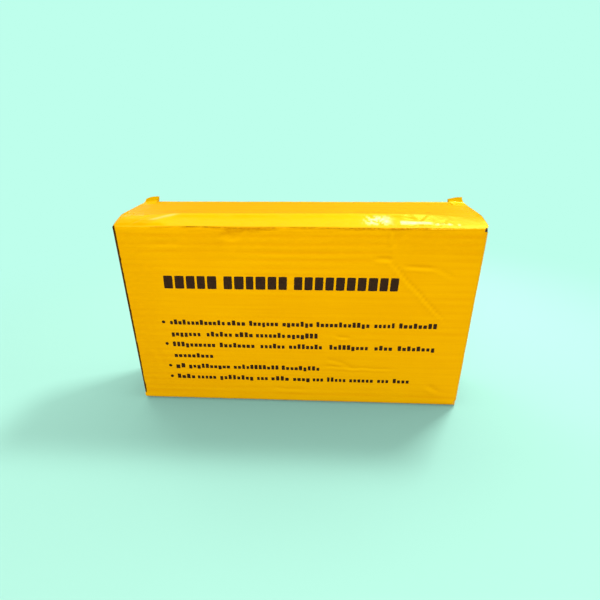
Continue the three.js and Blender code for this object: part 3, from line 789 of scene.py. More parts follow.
def fold(apex, along_a, along_b, turn, reach, radius, steps, count, middle=1.72):
    """Cross-section of a fold from panel A to panel B, whose faces would meet at apex.
    turn is 1 where the board's inside lies clockwise of its direction, else -1.
    start and end are two points on the chord through the apex, one either side of it."""
    apex, along_a, along_b = np.asarray(apex, float), unit(along_a), unit(along_b)
    in_a, in_b = (turn * np.array([t[1], -t[0]]) for t in (along_a, along_b))
    chord, inward = unit(along_a + along_b), unit(in_a + in_b)
    reach_a = reach + BOARD * (in_a @ chord) / (along_a @ chord)
    reach_b = reach - BOARD * (in_b @ chord) / (along_b @ chord)
    inner_a = apex - along_a * reach_a + in_a * BOARD
    inner_b = apex + along_b * reach_b + in_b * BOARD
    round_part = bezier(apex - along_a * radius, apex, apex + along_b * radius, steps - 2)
    outer = np.concatenate([[apex - along_a * reach], round_part, [apex + along_b * reach]])
    control = 2 * (apex + inward * middle) - (inner_a + inner_b) / 2
    inner = bezier(inner_a, control, inner_b, steps)
    half = reach * (along_a @ chord)
    return Fold(resample(outer, count), resample(inner, count, np.linspace(0, 1, steps)),
                apex - chord * half, apex + chord * half)


def tuck_direction(up):
    return np.array([-math.sin(LEAN), up * math.cos(LEAN)])


FRONT_CREASE = fold((0, FRONT_TOP), (0, 1), (1, LID_RISE), turn=1,
                    reach=1.1, radius=0.42, steps=13, count=17)
TUCK_CREASE = fold((TUCK_Y, LID_TOP + CROWN), (1, 0), tuck_direction(-1), turn=1,
                   reach=TUCK_REACH, radius=0.62, steps=13, count=15)
BOTTOM_CREASE = fold((0, 0), (0, -1), (1, 0), turn=-1,
                     reach=3.0, radius=2.35, steps=15, count=17, middle=2.0)
BOTTOM_TUCK_CREASE = fold((TUCK_Y, 0), (1, 0), tuck_direction(1), turn=-1,
                          reach=TUCK_REACH, radius=0.85, steps=13, count=15)


def round_end(x, y):
    """Near the right end the board's edge follows the rounded fold below it."""
    radius, start = 2.6, 72
    y = np.clip(y, 0, radius)
    arc = HALF - radius + np.sqrt(np.maximum(0, radius ** 2 - (radius - y) ** 2))
    limit = np.maximum(73.2, arc)
    return np.where(x > start, start + (x - start) * (limit - start) / (HALF - start), x)


def blend_across(piece, crease):
    """Bake the placement of a crease piece, which runs along x, into its mesh."""
    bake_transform(piece)


def crease_line(x):
    """How strong the dark painted shadow line in the top front crease's crushed score is, and how
    strong the reddish painted shade under it is, along x.
    """
    strength = np.maximum.reduce([
        (0.55 + 0.45 * ease(-50, -44, x)) * window(x, -61, -57, -31.5, -28.5),
        0.55 * window(x, -31, -29, -8.5, -5),
        window(x, -4.5, -1.5, 51, 54.5),
        0.45 * window(x, 51, 54, 60, 68),
        np.full_like(x, 0.12),
    ])
    return strength * (0.78 + 0.35 * NOISE[12](x / 3.1, 0.4)), window(x, -31.5, -29, -9.5, -6.5)


# Where the pressed score lies across the top front crease: x, fraction from front to lid
SCORE = np.array([
    (-58, 0.70), (-48, 0.80), (-39, 0.86), (-30, 0.70), (-23, 0.47), (-12, 0.60),
    (-1, 0.76), (8, 0.70), (22, 0.52), (35, 0.50), (49, 0.58), (62, 0.60)])


def build_front_crease():
    """The crease between the front panel and the lid."""
    xs = np.linspace(-HALF, HALF, 241)
    xs = np.r_[xs[0], xs[0] + 0.2, xs[1:-1], xs[-1] - 0.2, xs[-1]]
    x = xs[:, None]
    outer, inner = (grid(round_end(x, y), y, z)
                    for y, z in (FRONT_CREASE.outer.T, FRONT_CREASE.inner.T))
    across = np.linspace(0, 1, outer.shape[1])[None]
    strength, reddish = (values[:, None] for values in crease_line(xs))
    # a pressed score line with a raised lip, wandering a little
    score = np.interp(x, *SCORE.T) + 0.05 * NOISE[13](x / 7, 0.5)
    crushed = 0.15 + 0.85 * ease(-58, -53, x) * (0.3 + 0.7 * ease(70, 60, x))
    lift = (-bell(across - score, 0.085) * crushed * (0.10 + 0.16 * strength)
            + 0.05 * bell(across - score + 0.22, 0.10) * crushed
            + 0.03 * NOISE[14](x / 2.4, across * 3))
    lift = (lift * window(across, 0, 0.12, 0.88, 1)
            + front_lift(x, FRONT_CREASE.outer[None, :, 1]) * (1 - ease(0, 1, across)))
    # painted shade: a dark shadow line along the score, the raw left edge's shadowed flutes and
    # the right end's corner
    dark = np.maximum.reduce(np.broadcast_arrays(
        bell(across - score, 0.19) * np.minimum(strength * 1.02, 0.58),
        positive(raw_step(x, 84.0) * 4),
        ease(74.1, 74.4, x) * bell(across - 0.75, 0.25) * 0.72))
    # reddish painted shade under and along the score
    red = np.maximum.reduce([
        bell(across - score + 0.08, 0.34) * (0.65 * strength + 0.45 * reddish),
        (across < score) * 0.45 * reddish,
        0.42 * bell(across - score + 0.04, 0.22) * window(x, -62, -57, 46, 58)])
    wear = (0.25 * bell(across - score - 0.2, 0.15) * positive(NOISE[10](x / 3, across) + 0.2)
            + bell(HALF - np.abs(x), 0.4) * 0.5)
    crease = board("top_crease_board", outer, inner, end_grooves(outer.shape[:2], 0.35),
                   lift, wear, dark, red)
    blend_across(crease, FRONT_CREASE)


def crease_surface(along, across, k, uneven, spacing, lines, valley):
    """Lift and wear of a plain crease."""
    lift = window(across, 0, 0.2, 0.8, 1) * (
        uneven * NOISE[k](along / spacing, across * lines) - valley * bell(across - 0.5, 0.12))
    patches = positive(NOISE[k + 3](along / 3, across * 2) + 0.35)
    return lift, 0.36 * bell(across - 0.5, 0.2) * patches


def build_crease(name, crease, half, uneven=0.05, raw_rows=(0, -1)):
    """A plain crease along x."""
    x = np.linspace(-half, half, 110)[:, None]
    outer, inner = (grid(round_end(x, y), y, z) for y, z in (crease.outer.T, crease.inner.T))
    across = np.linspace(0, 1, outer.shape[1])[None]
    lift, wear = crease_surface(x, across, k=5, uneven=uneven, spacing=2.6, lines=4, valley=0.07)
    wear = wear + 0.5 * bell(half - np.abs(x), 0.4)
    piece = board(name, outer, inner, end_grooves(outer.shape[:2], 0.3, raw_rows), lift, wear)
    blend_across(piece, crease)


# ------------------------------------------------------------------ top lid
# Groups of puckers on the slope: middle x, half width, height, spacing
PUCKERS = [(35, 3.2, 0.13, 1.15), (48.5, 6.0, 0.17, 1.35), (60, 3.0, 0.10, 1.2),
           (-65.5, 3.6, 0.13, 1.5), (-33, 6, 0.05, 1.8), (8, 8, 0.05, 2.1)]
# Creases in the lid: x, y of one end, x, y of the other, depth, width
LID_CREASES = [
    (46, 2, 53, 8.6, 0.16, 0.5), (33, 2.5, 37, 8.8, 0.13, 0.5), (-68, 2.0, -62, 7.0, 0.14, 0.6),
    (56, 2.2, 61, 6.4, 0.10, 0.6), (-20, 20, 22, 21.5, 0.05, 0.9), (30, 14, 62, 25, 0.06, 1.1),
    (-64, 17, -40, 15.5, 0.05, 0.9)]
# The outer and inner face where the slope turns into the flat top: y, z
KNEE_OUT = [(7.4, FRONT_TOP + LID_RISE * 7.4), (8.3, 89.80), (9.4, 89.99), (10.6, LID_TOP)]
KNEE_IN = [(8.0, 87.98), (8.9, 88.32), (9.9, 88.4), (11.0, 88.4)]
# The ears' outer and inner face from the slits' start to the free edge: y, z
EAR_OUT = [(25.5, 90.03), (28.4, 90.05), (30.4, 90.3), (31.5, 91.0), (31.95, 91.9), (32.2, 92.75)]
EAR_IN = [(25.5, 88.44), (28.8, 88.42), (31.3, 88.7), (32.7, 89.6), (33.45, 91.2), (33.75, 92.35)]
SLIT_Y = 25.5           # where the slits start
TAIL_ROWS = 16          # rows behind the slits' start
LID_X = np.r_[-75, -74.7, np.linspace(-74, -68.6, 7), -68.16, -67.84, np.linspace(-67, 67, 182),
              67.84, 68.16, np.linspace(68.6, 74, 7), 74.7, 75]


def puckers(x, y, middle, spacing):
    return 1 - np.abs(NOISE[6](x / spacing + 0.5 * y / spacing, y / 2.4 + middle)) * 2


def lid_lift(x, y):
    """Outward displacement of the lid's face."""
    # on the flat top the flutes run across the lid as they do on the front
    lift = ease(7.2, 10.5, y) * (flutes(y + 1.2, x + 37, 2) * 0.8 + 0.8 * undulate(x + 60, y, 3))
    # the slope is crushed board: uneven, sagging between its ends and rounded at them
    slope = window(y, 1.2, 2.2, 8, 10)
    lift = lift + slope * (0.07 * NOISE[2](x / 6.0, y / 3.0)
                           + 0.05 * NOISE[3](x / 2.3 + y / 4, y / 1.7))
    sag = np.sin(np.pi * positive((y - 1) / 8.2))
    lift = lift - slope * 0.18 * sag * (1 + 0.5 * NOISE[4](x / 22, 0.3))
    rounded = ease(-50, -57, x) + 0.35 * ease(62, 70, x)
    arch = np.sin(np.pi * positive((y - 0.6) / 8.6)) ** 0.8
    lift = lift + slope * rounded * 0.55 * arch
    lift = (lift - 0.75 * ease(52, 73, x) * bell(y - 9.2, 3.4)
            - 0.35 * ease(-58, -72, x) * bell(y - 9.6, 2.6))
    for middle, width, height, spacing in PUCKERS:
        lift = lift + slope * bell(x - middle, width) * height * puckers(x, y, middle, spacing)
    # the ridge between slope and top
    lift = lift + bell(y - 8.9, 0.8) * (0.05 * NOISE[8](x / 3.5, 0.2) - 0.02)
    lift = lift + 0.42 * bell(y - 9.6, 2.3) * window(x, -62, -52, 44, 62)
    for x0, y0, x1, y1, depth, width in LID_CREASES:
        distance, side, _ = segment_distance(x, y, x0, y0, x1, y1)
        lip = bell(distance - 1.8 * width, width) * (side > 0)
        lift = lift - depth * (bell(distance, width) - 0.6 * lip)
    # a raised line along the slope's right half
    line_y = 3.0 + 0.25 * NOISE[1](x / 4, 2.0)
    lift = lift + 0.16 * bell(y - line_y, 0.55) * window(x, 47.5, 49, 60, 63)
    return lift * ease(0, 0.8, y - 1.05)


def smooth_polyline(points, count):
    """Three rounds of corner cutting, then even spacing."""
    points = np.array(points, float)
    for _ in range(3):
        cut = [points[0]]
        for a, b in zip(points[:-1], points[1:]):
            cut += [a * 0.75 + b * 0.25, a * 0.25 + b * 0.75]
        points = np.array(cut + [points[-1]])
    return resample(points, count)


def lid_profiles(crease_end, knee, ear, tuck_y):
    """One face's y, z from front to back, through the lid's middle and through an ear."""
    flat_y, flat_z = knee[-1]

    def level(start, end, count):
        y = np.linspace(start, end, count)[1:]
        return np.stack([y, np.full_like(y, flat_z)], 1)

    shared = [resample(np.array([crease_end, knee[0]]), 16), smooth_polyline(knee, 11)[1:],
              level(flat_y, SLIT_Y, 27)]
    return (np.concatenate(shared + [level(SLIT_Y, tuck_y, TAIL_ROWS + 1)]),
            np.concatenate(shared + [smooth_polyline(ear, TAIL_ROWS + 1)[1:]]))


def slit_mask(rows):
    """Grid cells of a lid, less the slits beside its ears."""
    mask = np.ones((len(LID_X) - 1, rows - 1), bool)
    middle = np.abs((LID_X[:-1] + LID_X[1:]) / 2)
    mask[(67.8 < middle) & (middle < 68.2), rows - 1 - (1 + slit_tail(rows)):] = False
    return mask


def slit_tail(rows):
    """Rows behind the slits' start: the bottom lid has fewer than the top lid."""
    return BOTTOM_TAIL_ROWS - 1 if rows == BOTTOM_ROWS + BOTTOM_TAIL_ROWS else TAIL_ROWS - 1


BOTTOM_ROWS, BOTTOM_TAIL_ROWS = 44, 8


def build_lid():
    out_profiles = lid_profiles(FRONT_CREASE.outer[-1], KNEE_OUT, EAR_OUT, TUCK_CREASE.outer[0, 0])
    in_profiles = lid_profiles(FRONT_CREASE.inner[-1], KNEE_IN, EAR_IN, TUCK_CREASE.inner[0, 0])
    rows = len(out_profiles[0])
    tail = rows - TAIL_ROWS                 # first row behind the slits' start
    t = np.arange(1, TAIL_ROWS + 1) / TAIL_ROWS
    outer, inner = np.zeros((2, len(LID_X), rows, 3))
    for column, x in enumerate(LID_X):
        ear = abs(x) > SLIT_X
        rise = CROWN * ease(11, 30.5, out_profiles[ear][:, 0])
        if ear:
            sinking = np.r_[np.ones(tail), np.linspace(1, 0.25, TAIL_ROWS + 1)[1:]]
            rise = rise * sinking * ease(75.5, 66.5, abs(x))
        for face, profiles in ((outer, out_profiles), (inner, in_profiles)):
            y, z = profiles[ear].T
            face[column] = grid(round_end(x, y), y, z + rise)
        if ear:
            # the ears' free corners are rounded and twist a little
            k = (abs(x) - SLIT_X) / (HALF - SLIT_X)
            twist = 0.30 * (k - 0.5) * t * t * (-1 if x < 0 else 0.8)
            pull = 0.9 * max(0, (k - 0.3) / 0.7 if x < 0 else (0.65 - k) / 0.65) ** 2 * t ** 4
            shift = 1.3 * k * ease(0.35, 1.0, t) - 0.5 * (1 - k) * ease(0.3, 1.0, t)
            for face in (outer, inner):
                face[column, tail:, 2] += twist - pull * 0.9
                face[column, tail:, 0] -= np.copysign(shift, x)

    x, y = outer[..., 0], outer[..., 1]
    on_ear = np.abs(x) > SLIT_X
    in_tail = np.arange(rows)[None] >= tail
    lift = lid_lift(x, y)
    lift = np.where(on_ear & in_tail, lift * 0.4 + 0.05 * NOISE[5](x / 3, y / 3), lift)
    lift *= 0.2 + 0.8 * ease(0, 1.2, HALF - np.abs(x))
    at_end = bell(HALF - np.abs(x), 0.5)
    wear = (at_end * (0.38 + 0.3 * NOISE[10](y / 2, 0.0))
            + 0.32 * bell(y - 8.7, 0.7) * positive(NOISE[11](x / 4, y / 3) - 0.15))
    slit_wear = np.where(np.abs(np.abs(x) - SLIT_X) < 0.6, 0.12, 0)
    wear[:, tail - 2:] = np.maximum(wear, slit_wear)[:, tail - 2:]
    free_edge = bell(1 - positive((np.arange(rows) - tail + 1) / TAIL_ROWS)[None], 0.06) * on_ear
    wear = np.maximum(wear, free_edge * 0.14)
    # painted shade at the lid's raw ends and along the ears' free edges, where the flutes'
    # openings lie in shadow
    dark = np.maximum(at_end * np.where(y < 12, 0.62, 0.38), free_edge * 0.15)

    slope = window(y, 0.5, 1.5, 8.2, 10.2)
    # gloss: shinier finish and painted sheen on the slope, its pointed left tip and the ears
    gloss = np.maximum.reduce([
        slope * ease(-59, -55, x - 1.3 * (y - 5)) * (0.12 + 0.88 * ease(50, 24, x)),
        0.6 * slope * ease(3.4, 6.0, y) * ease(-74, -71, x) * (x < -50),
        np.where(on_ear & (y > 26), 0.85, 0.0)])
    # painted highlights, pale glints on the slope: puckers, a spot, a long streak, small spots, a
    # slanting line
    streak_width = np.interp(x, [40, 52], [1.25, 0.75])
    spots = [(55.6, 2.9, 0.7), (60.4, 2.8, 0.8), (57.8, 3.0, 0.4), (64, 2.6, 0.4)]
    pale = np.maximum.reduce([
        ease(0.08, 0.5, puckers(x, y, 35, 1.15)) * bell(x - 32.5, 5.2, 4) * bell(y - 5.0, 2.6, 4),
        bell(x - 36.0, 1.7) * bell(y - 4.6, 1.2),
        window(x, 41.2, 42.0, 52.5, 55) * bell(y - 3.9 + 0.03 * (x - 40), streak_width, 4),
        *(0.8 * bell(x - cx, radius) * bell(y - cy, 0.55) for cx, cy, radius in spots),
        0.34 * bell(x + 57 - 2.0 * (y - 6.0), 1.5) * window(y, 4.0, 5.0, 8.2, 9.2)])
    groove = np.full(x.shape, 0.42)
    groove[:, 0] = 0.0
    groove[np.abs(LID_X) < 74, tail:] = 0.0
    lid = board("top_lid_board", outer, inner, groove, lift, wear, dark,
                lift_in=0.3 * undulate(x, y, 3), mask=slit_mask(rows), cut=end_rows(x.shape),
                gloss=gloss, pale=pale,
                # painted shade and highlight along the flutes of the flat top
                band=(1 - slope) * flutes(y + 1.2, x + 37, 2) / FLUTE_SHOW)
    settle(lid, "top_lid", "top_lid")


# ------------------------------------------------------------------ tuck flaps
def build_tuck(end, up, apex_z, length):
    """A tuck flap from its crease to its free edge; up is -1 at the top, 1 at the bottom."""
    direction = tuck_direction(up)
    inward = np.array([-math.cos(LEAN), -up * math.sin(LEAN)])
    u = np.linspace(-1, 1, 113)[:, None]

    def face(start, depth):
        s = np.linspace(start, length, 17)
        half = TUCK_HALF - 6.6 * positive((s - 3.4) / 5.6) ** 2.1
        y, z = (np.array([TUCK_Y, apex_z]) + np.outer(s, direction) + inward * depth).T
        return s, half, grid(u * half, y, z)

    s, half, outer = face(TUCK_REACH, 0)
    inner = face(TUCK_REACH + 2.085, BOARD)[2]
    x = outer[..., 0]
    lift = (flutes(s, x + 11, 2) + 0.6 * undulate(x, s, 3)) * ease(0, 1.5, s - TUCK_REACH)
    wear = bell(length - s, 0.35) * 0.5 + bell(half - np.abs(x), 0.4) * 0.45
    groove = np.full(x.shape, 0.42)
    groove[:, 0] = 0.0
    flap = board(f"{end}_tuck_board", outer, inner, groove, lift, wear, lift_in=0.3 * lift,
                 cut=end_rows(x.shape))
    settle(flap, f"{end}_tuck_flap", f"{end}_tuck_flap")


# ------------------------------------------------------------------ dust flaps
def build_dust(side, top):
    """A dust flap and its crease on the left (-1) or right (1) side panel."""
    body = f"{'top' if top else 'bottom'}_dust_flap_{'left' if side < 0 else 'right'}"
    level, up, front_y = (88.1, 1, 9.8) if top else (1.9, -1, 4.3)
    crease = fold((0, level), (0, up), (1, 0), turn=up, reach=0.9, radius=0.7, steps=11, count=11)
    ys = np.linspace(front_y, 31.4, 24)[:, None]
    outer, inner = (grid(side * (HALF - reach), ys, z)
                    for reach, z in (crease.outer.T, crease.inner.T))
    lift, wear = crease_surface(ys, np.linspace(0, 1, 11)[None], k=4, uneven=0.04, spacing=2,
                                lines=3, valley=0.06)
    piece = board(f"{body}_crease", outer, inner, end_grooves((24, 11), 0.3), lift, wear,
                  warped=False)
    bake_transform(piece)

    # reach: distance in from the side panel; the flap's front and back edges follow it
    root = [0.9, 1.6, 2.6, 3.8, 5.0, 6.0, 6.25, 6.9, 7.15]
    if top:
        reach = np.r_[root, np.linspace(8.2, 25, 15), 25.8, 26.6, 27.3, 27.8, 28]
        front = np.interp(reach, [0, 10, 12, 21, 26.5, 28], [9.8, 9.8, 10.5, 15.2, 18.6, 20.6])
        back = np.interp(reach, [0, 6.1, 7.1, 25, 27, 28], [31.4, 31.4, 28.8, 28.8, 28.1, 26.6])
    else:
        reach = np.r_[root, np.linspace(8.2, 17, 9), 17.8, 18.5, 19]
        front = front_y + (reach - 0.9)
        back = np.interp(reach, [0, 6.1, 7.1, 17, 19], [31.4, 31.4, 28.8, 28.8, 27.0])
    reach_in = np.maximum(reach, 2.5 + 0.02 * np.arange(len(reach)))[:, None]
    reach, front, back = reach[:, None], front[:, None], back[:, None]
    y = front + (back - front) * np.linspace(0, 1, 36)
    lift = 0.6 * flutes(reach, y + 5, 2) + 0.6 * undulate(reach, y, 3)
    lift *= ease(0, 2, reach - 0.9)
    from_edge = np.minimum(reach[-1] - reach, np.minimum(y - front, back - y))
    groove = np.full(y.shape, 0.4)
    groove[0] = 0.0
    cut = np.zeros(y.shape, bool)
    cut[1:, [0, -1]] = True
    flap = board(f"{body}_board", grid(side * (HALF - reach), y, level),
                 grid(side * (HALF - reach_in), y, level - up * BOARD), groove, lift,
                 0.45 * bell(from_edge, 0.35), lift_in=0.3 * lift, cut=cut)
    settle(flap, body, body)


# ------------------------------------------------------------------ bottom lid
def build_bottom_lid():
    def face(front_y, slit_y, tuck_y, z):
        columns = [np.r_[np.linspace(front_y, slit_y, BOTTOM_ROWS),
                         np.linspace(slit_y, DEPTH if abs(x) > SLIT_X else tuck_y,
                                     BOTTOM_TAIL_ROWS + 1)[1:]] for x in LID_X]
        return grid(LID_X[:, None], np.array(columns), z)

    outer = face(3.0, 29.0, BOTTOM_TUCK_CREASE.outer[0, 0], 0.0)
    inner = face(4.6, 28.0, BOTTOM_TUCK_CREASE.inner[0, 0], BOARD)
    x, y = outer[..., 0], outer[..., 1]
    at_end = bell(HALF - np.abs(x), 0.5)
    groove = np.full(x.shape, 0.42)
    groove[:, 0] = 0.0
    groove[np.abs(LID_X) < SLIT_X, -1] = 0.0
    # dark at the raw ends: painted shade where the flutes' openings lie in shadow
    lid = board("bottom_lid_board", outer, inner, groove,
                -0.02 - 0.02 * np.abs(NOISE[2](x / 14, y / 9)),
                0.5 * at_end + 0.25 * positive(NOISE[11](x / 9, y / 9) - 0.2), 0.3 * at_end,
                mask=slit_mask(x.shape[1]), cut=end_rows(x.shape))
    settle(lid, "bottom_lid", "bottom_lid")


build_tube()
build_lid()
build_front_crease()
build_crease("top_tuck_crease_board", TUCK_CREASE, TUCK_HALF)
build_tuck("top", -1, LID_TOP + CROWN, length=9.0 + CROWN)
for side in (-1, 1):
    build_dust(side, True)
    build_dust(side, False)
build_crease("bottom_crease_board", BOTTOM_CREASE, HALF, uneven=0.04,
             raw_rows=(0,))
build_crease("bottom_tuck_crease_board", BOTTOM_TUCK_CREASE, TUCK_HALF)
build_tuck("bottom", 1, 0.0, length=9.0)
build_bottom_lid()

# ------------------------------------------------------------------ print on the front
# Rounded bars stand for the text: a heavy heading line and four points with bullets.
# Spans along x are measured from the panel's left edge.
HEADING_Z = (59.4884, 65.4908)
HEADING = [(16.8, 40.8, 5), (43.0, 71.2, 6), (73.3, 118.2, 10)]     # start, end, letters
LETTER = 2.05           # width of a letter with its gap
LETTER_GAP = 0.22       # on each side of a letter
ASCENDER, DESCENDER = 0.7872, 0.5412
BULLET_X, BULLET_RADIUS = 14.2, 0.78
# Text lines: baseline z, letter height, the words' starts and ends, bullet z
LINES = [
    (41.7764, 1.7909, [(16.8, 42.5), (43.0, 51.7), (53.0, 66.5), (68.0, 82.0), (83.0, 107.0),
                       (108.6, 118.0), (119.3, 136.2)], 42.9572),
    (35.8724, 1.7909, [(16.8, 30.8), (33.0, 45.3), (46.2, 54.8), (55.7, 69.5),
                       (70.0, 84.2)], None),
    (30.2636, 1.7397, [(16.6, 37.0), (38.6, 55.3), (57.5, 69.2), (70.7, 86.2), (89.0, 107.0),
                       (109.3, 117.8), (119.7, 136.6)], 31.6412),
    (24.3596, 1.6885, [(16.6, 35.5)], None),
    (18.6524, 1.6374, [(16.6, 21.6), (22.8, 43.0), (44.3, 66.0), (67.0, 85.2)], 19.7348),
    (12.5516, 1.7397, [(16.6, 25.6), (26.3, 35.8), (37.2, 53.7), (55.0, 60.7), (61.8, 70.7),
                       (72.2, 80.6), (81.5, 87.0), (88.2, 97.5), (98.7, 110.3),
                       (111.8, 117.5), (119.0, 127.0)], 13.7324),
]


def on_front(x, z):
    """A thin slab of ink that follows the front face."""
    x = unwarp(x, z)
    lift = front_lift(x, z)
    return grid(x, -lift - 0.022, z), grid(x, -lift + 0.05, z)


def ink_bar(x0, x1, z0, z1, radius, skew, columns, rows):
    u, v = np.meshgrid(np.linspace(-1, 1, columns), np.linspace(-1, 1, rows), indexing="ij")
    half_x, half_z = (x1 - x0) / 2, (z1 - z0) / 2
    corner = 0.16
    x = u * half_x * (1 - corner * np.abs(v) ** 6 * min(1, radius / half_x) * np.abs(u) ** 4)
    z = v * half_z * (1 - corner * np.abs(u) ** 6 * min(1, radius / half_z) * np.abs(v) ** 4)
    return on_front((x0 + x1) / 2 - HALF + x + skew * z, (z0 + z1) / 2 + z)


def ink_disc(x, z, radius):
    u, v = np.meshgrid(np.linspace(-1, 1, 7), np.linspace(-1, 1, 7), indexing="ij")
    return on_front(x - HALF + radius * u * np.sqrt(1 - v * v / 2),
                    z + radius * v * np.sqrt(1 - u * u / 2))


def build_print():
    rng = np.random.default_rng(7)
    items = []
    for start, end, count in HEADING:
        width = (end - start) / count
        cuts = [start + width * k + (rng.uniform(-0.3, 0.3) if 0 < k < count else 0)
                for k in range(count + 1)]
        for left, right in zip(cuts[:-1], cuts[1:]):
            items.append(ink_bar(left + 0.40, right - 0.50, *HEADING_Z, radius=0.5, skew=0.04,
                                 columns=5, rows=9))
    for baseline, height, words, bullet_z in LINES:
        for start, end in words:
            count = max(2, round((end - start) / LETTER))
            width = (end - start) / count
            for k in range(count):
                kind, inset = rng.random(), rng.uniform(0, 0.18)
                items.append(ink_bar(
                    start + width * k + LETTER_GAP + inset,
                    start + width * (k + 1) - LETTER_GAP - inset * 0.5,
                    baseline - (DESCENDER if kind > 0.90 else 0),
                    baseline + height + (ASCENDER if kind < 0.30 else 0),
                    radius=0.3, skew=0, columns=4, rows=5))
        if bullet_z:
            items.append(ink_disc(BULLET_X, bullet_z, BULLET_RADIUS))
    settle(slabs("front_print_bars", items, INK, warped=True), "carton")


# ------------------------------------------------------------------ leaflet
def build_leaflet():
    """The folded leaflet: four leaves, one behind the other."""
    m = Paint("leaflet_paper")
    fibre = m.noise(900, detail=5, rough=0.7)
    color = m.mix(m.ramp(fibre, 0.3, 0.7), (0.80, 0.79, 0.75), (0.88, 0.875, 0.84))
    paper = m.finish(Base_Color=color, Roughness=0.8, Specular_IOR_Level=0.3,
                     Normal=m.bump(fibre, strength=0.25, distance=0.00005))
    leaves = []
    for k in range(4):
        x, z = np.meshgrid(np.linspace(-49.6 + 0.25 * (k % 2), 49.7 - 0.2 * (k // 2), 26),
                           np.linspace(4.4 + 0.1 * k, 71.9 - 0.35 * k, 18), indexing="ij")
        curl = 0.02 * (z > 60) * ((z - 60) / 12) ** 2
        y = 2.28 + k * 0.26 + 0.05 * NOISE[12](x / 20, z / 20) + curl
        leaves.append((grid(x, y, z), grid(x, y + 0.17, z)))
    settle(slabs("user_leaflet_sheets", leaves, paper), "carton", "user_leaflet",
           slot="leaflet_paper")


# ------------------------------------------------------------------ display and keys
DISPLAY_Y = (7.455, 7.49)       # front and back of the display's segments
KEY_Y = (3.80, 3.87)            # front and back of the keys' marks


def quad(corners, depth):
    """A thin slab over four corners (x, z)."""
    u, v = np.meshgrid(np.linspace(0, 1, 3), np.linspace(0, 1, 3), indexing="ij")
    weights = ((1 - u) * (1 - v), u * (1 - v), u * v, (1 - u) * v)
    x, z = (sum(w * corner[k] for w, corner in zip(weights, corners)) for k in (0, 1))
    return tuple(grid(x, y, z) for y in depth)


def bar(x0, x1, z0, z1, depth=DISPLAY_Y):
    return quad([(x0, z0), (x1, z0), (x1, z1), (x0, z1)], depth)


def digit(x, z):
    """Seven slanting segments of a digit whose lower left corner is at x, z."""
    width, height, stroke = 6.6, 11.5, 1.15
    gap, middle, slant = 0.16 * stroke, height / 2, 0.12
    out = []

    def segment(*corners):
        out.append(quad([(px + slant * (pz - z), pz) for px, pz in corners], DISPLAY_Y))

    for low, inset_low, inset_high in ((z, 0, stroke), (z + middle - stroke / 2, stroke / 2,
                                       stroke / 2), (z + height - stroke, stroke, 0)):
        segment((x + gap + inset_low, low), (x + width - gap - inset_low, low),
                (x + width - gap - inset_high, low + stroke),
                (x + gap + inset_high, low + stroke))
    for z0, z1, low, high in ((z, z + middle, stroke, stroke / 2),
                              (z + middle, z + height, stroke / 2, stroke)):
        segment((x, z0 + gap), (x + stroke, z0 + gap + low), (x + stroke, z1 - gap - high),
                (x, z1 - gap))
        segment((x + width - stroke, z0 + gap + low), (x + width, z0 + gap),
                (x + width, z1 - gap), (x + width - stroke, z1 - gap - high))
    return out


def build_display():
    """The display's segments, dark as when it is off."""
    out = []
    for k in range(4):
        out += digit(-24 + 9.5 * k + (1.6 if k > 1 else 0), 49.5)
    out += [bar(-6.6, -5.5, z, z + 1.1) for z in (52.6, 57.0)]
    # charge level bars in a battery outline
    out += [bar(-38.6 + 2.1 * k, -37.2 + 2.1 * k, 43.6, 46.9) for k in range(5)]
    out += [bar(-39.4, -28.2, 42.5, 42.9), bar(-39.4, -28.2, 47.6, 48.0),
            bar(-39.4, -39.0, 42.95, 47.55), bar(-28.6, -28.2, 42.95, 47.55),
            bar(-28.15, -27.3, 44.3, 46.2)]
    # panel with its cells
    out += [bar(-38.4 + 2.4 * k, -38.1 + 2.4 * k, 57.0, 63.0) for k in range(4)]
    out += [bar(-38.05 + 2.4 * i, -36.05 + 2.4 * i, 57.0 + 2.85 * k, 57.3 + 2.85 * k)
            for k in range(3) for i in range(3)]
    for x in (-24 + 5.4 * k for k in range(6)):         # arrows: a dash and a head
        out += [bar(x, x + 3, 44.6, 45.4),
                quad([(x + 3.2, 44.1), (x + 4.4, 44.9), (x + 4.4, 45.1), (x + 3.2, 45.9)],
                     DISPLAY_Y)]
    off = matt("display_segments_off", (0.155, 0.20, 0.125), (0.185, 0.235, 0.15))
    settle(slabs("display_segments", out, off), "contents", slot="lcd_glass")


def build_key_marks():
    ink = matt("key_mark_ink", (0.62, 0.63, 0.62), (0.78, 0.78, 0.77))
    marks = {
        "menu": [bar(33.6, 38.4, 60 + d, 60.55 + d, KEY_Y) for d in (-1.5, -0.28, 0.95)],
        "up": [quad([(34.0, 48.0), (38.0, 48.0), (36.12, 50.3), (35.88, 50.3)], KEY_Y)],
        "down": [quad([(35.88, 36.8), (36.12, 36.8), (38.0, 39.1), (34.0, 39.1)], KEY_Y)],
    }
    for key, items in marks.items():
        settle(slabs("key_mark_" + key, items, ink), "button_" + key, slot="button_rubber")


build_print()
build_leaflet()
build_display()
build_key_marks()


# ------------------------------------------------------------------ controller finishes
def plastic(name, base, rough, grain=900, bump=0.25, specular=0.4, vary=0.35):
    m = Paint(name)
    fine = m.noise(grain)
    light = tuple(min(1, c * (1 + vary) + 0.002) for c in base)
    color = m.mix(m.ramp(m.noise(70, rough=0.5), 0.3, 0.7), base, light)
    return m.finish(Base_Color=color, Roughness=m.lerp(fine, rough - 0.06, rough + 0.08),
                    Normal=m.bump(fine, bump, distance=0.00008), Specular_IOR_Level=specular)


def metal(name, base, rough, stretch=(1, 1, 1)):
    m = Paint(name)
    fine = m.noise(700, detail=4, rough=0.65, stretch=stretch)
    color = m.mix(m.ramp(m.noise(45), 0.35, 0.7), base, tuple(c * 0.82 for c in base))
    return m.finish(Base_Color=color, Metallic=1.0,
                    Roughness=m.lerp(fine, rough - 0.07, rough + 0.1),
                    Normal=m.bump(fine, strength=0.2, distance=0.00005))


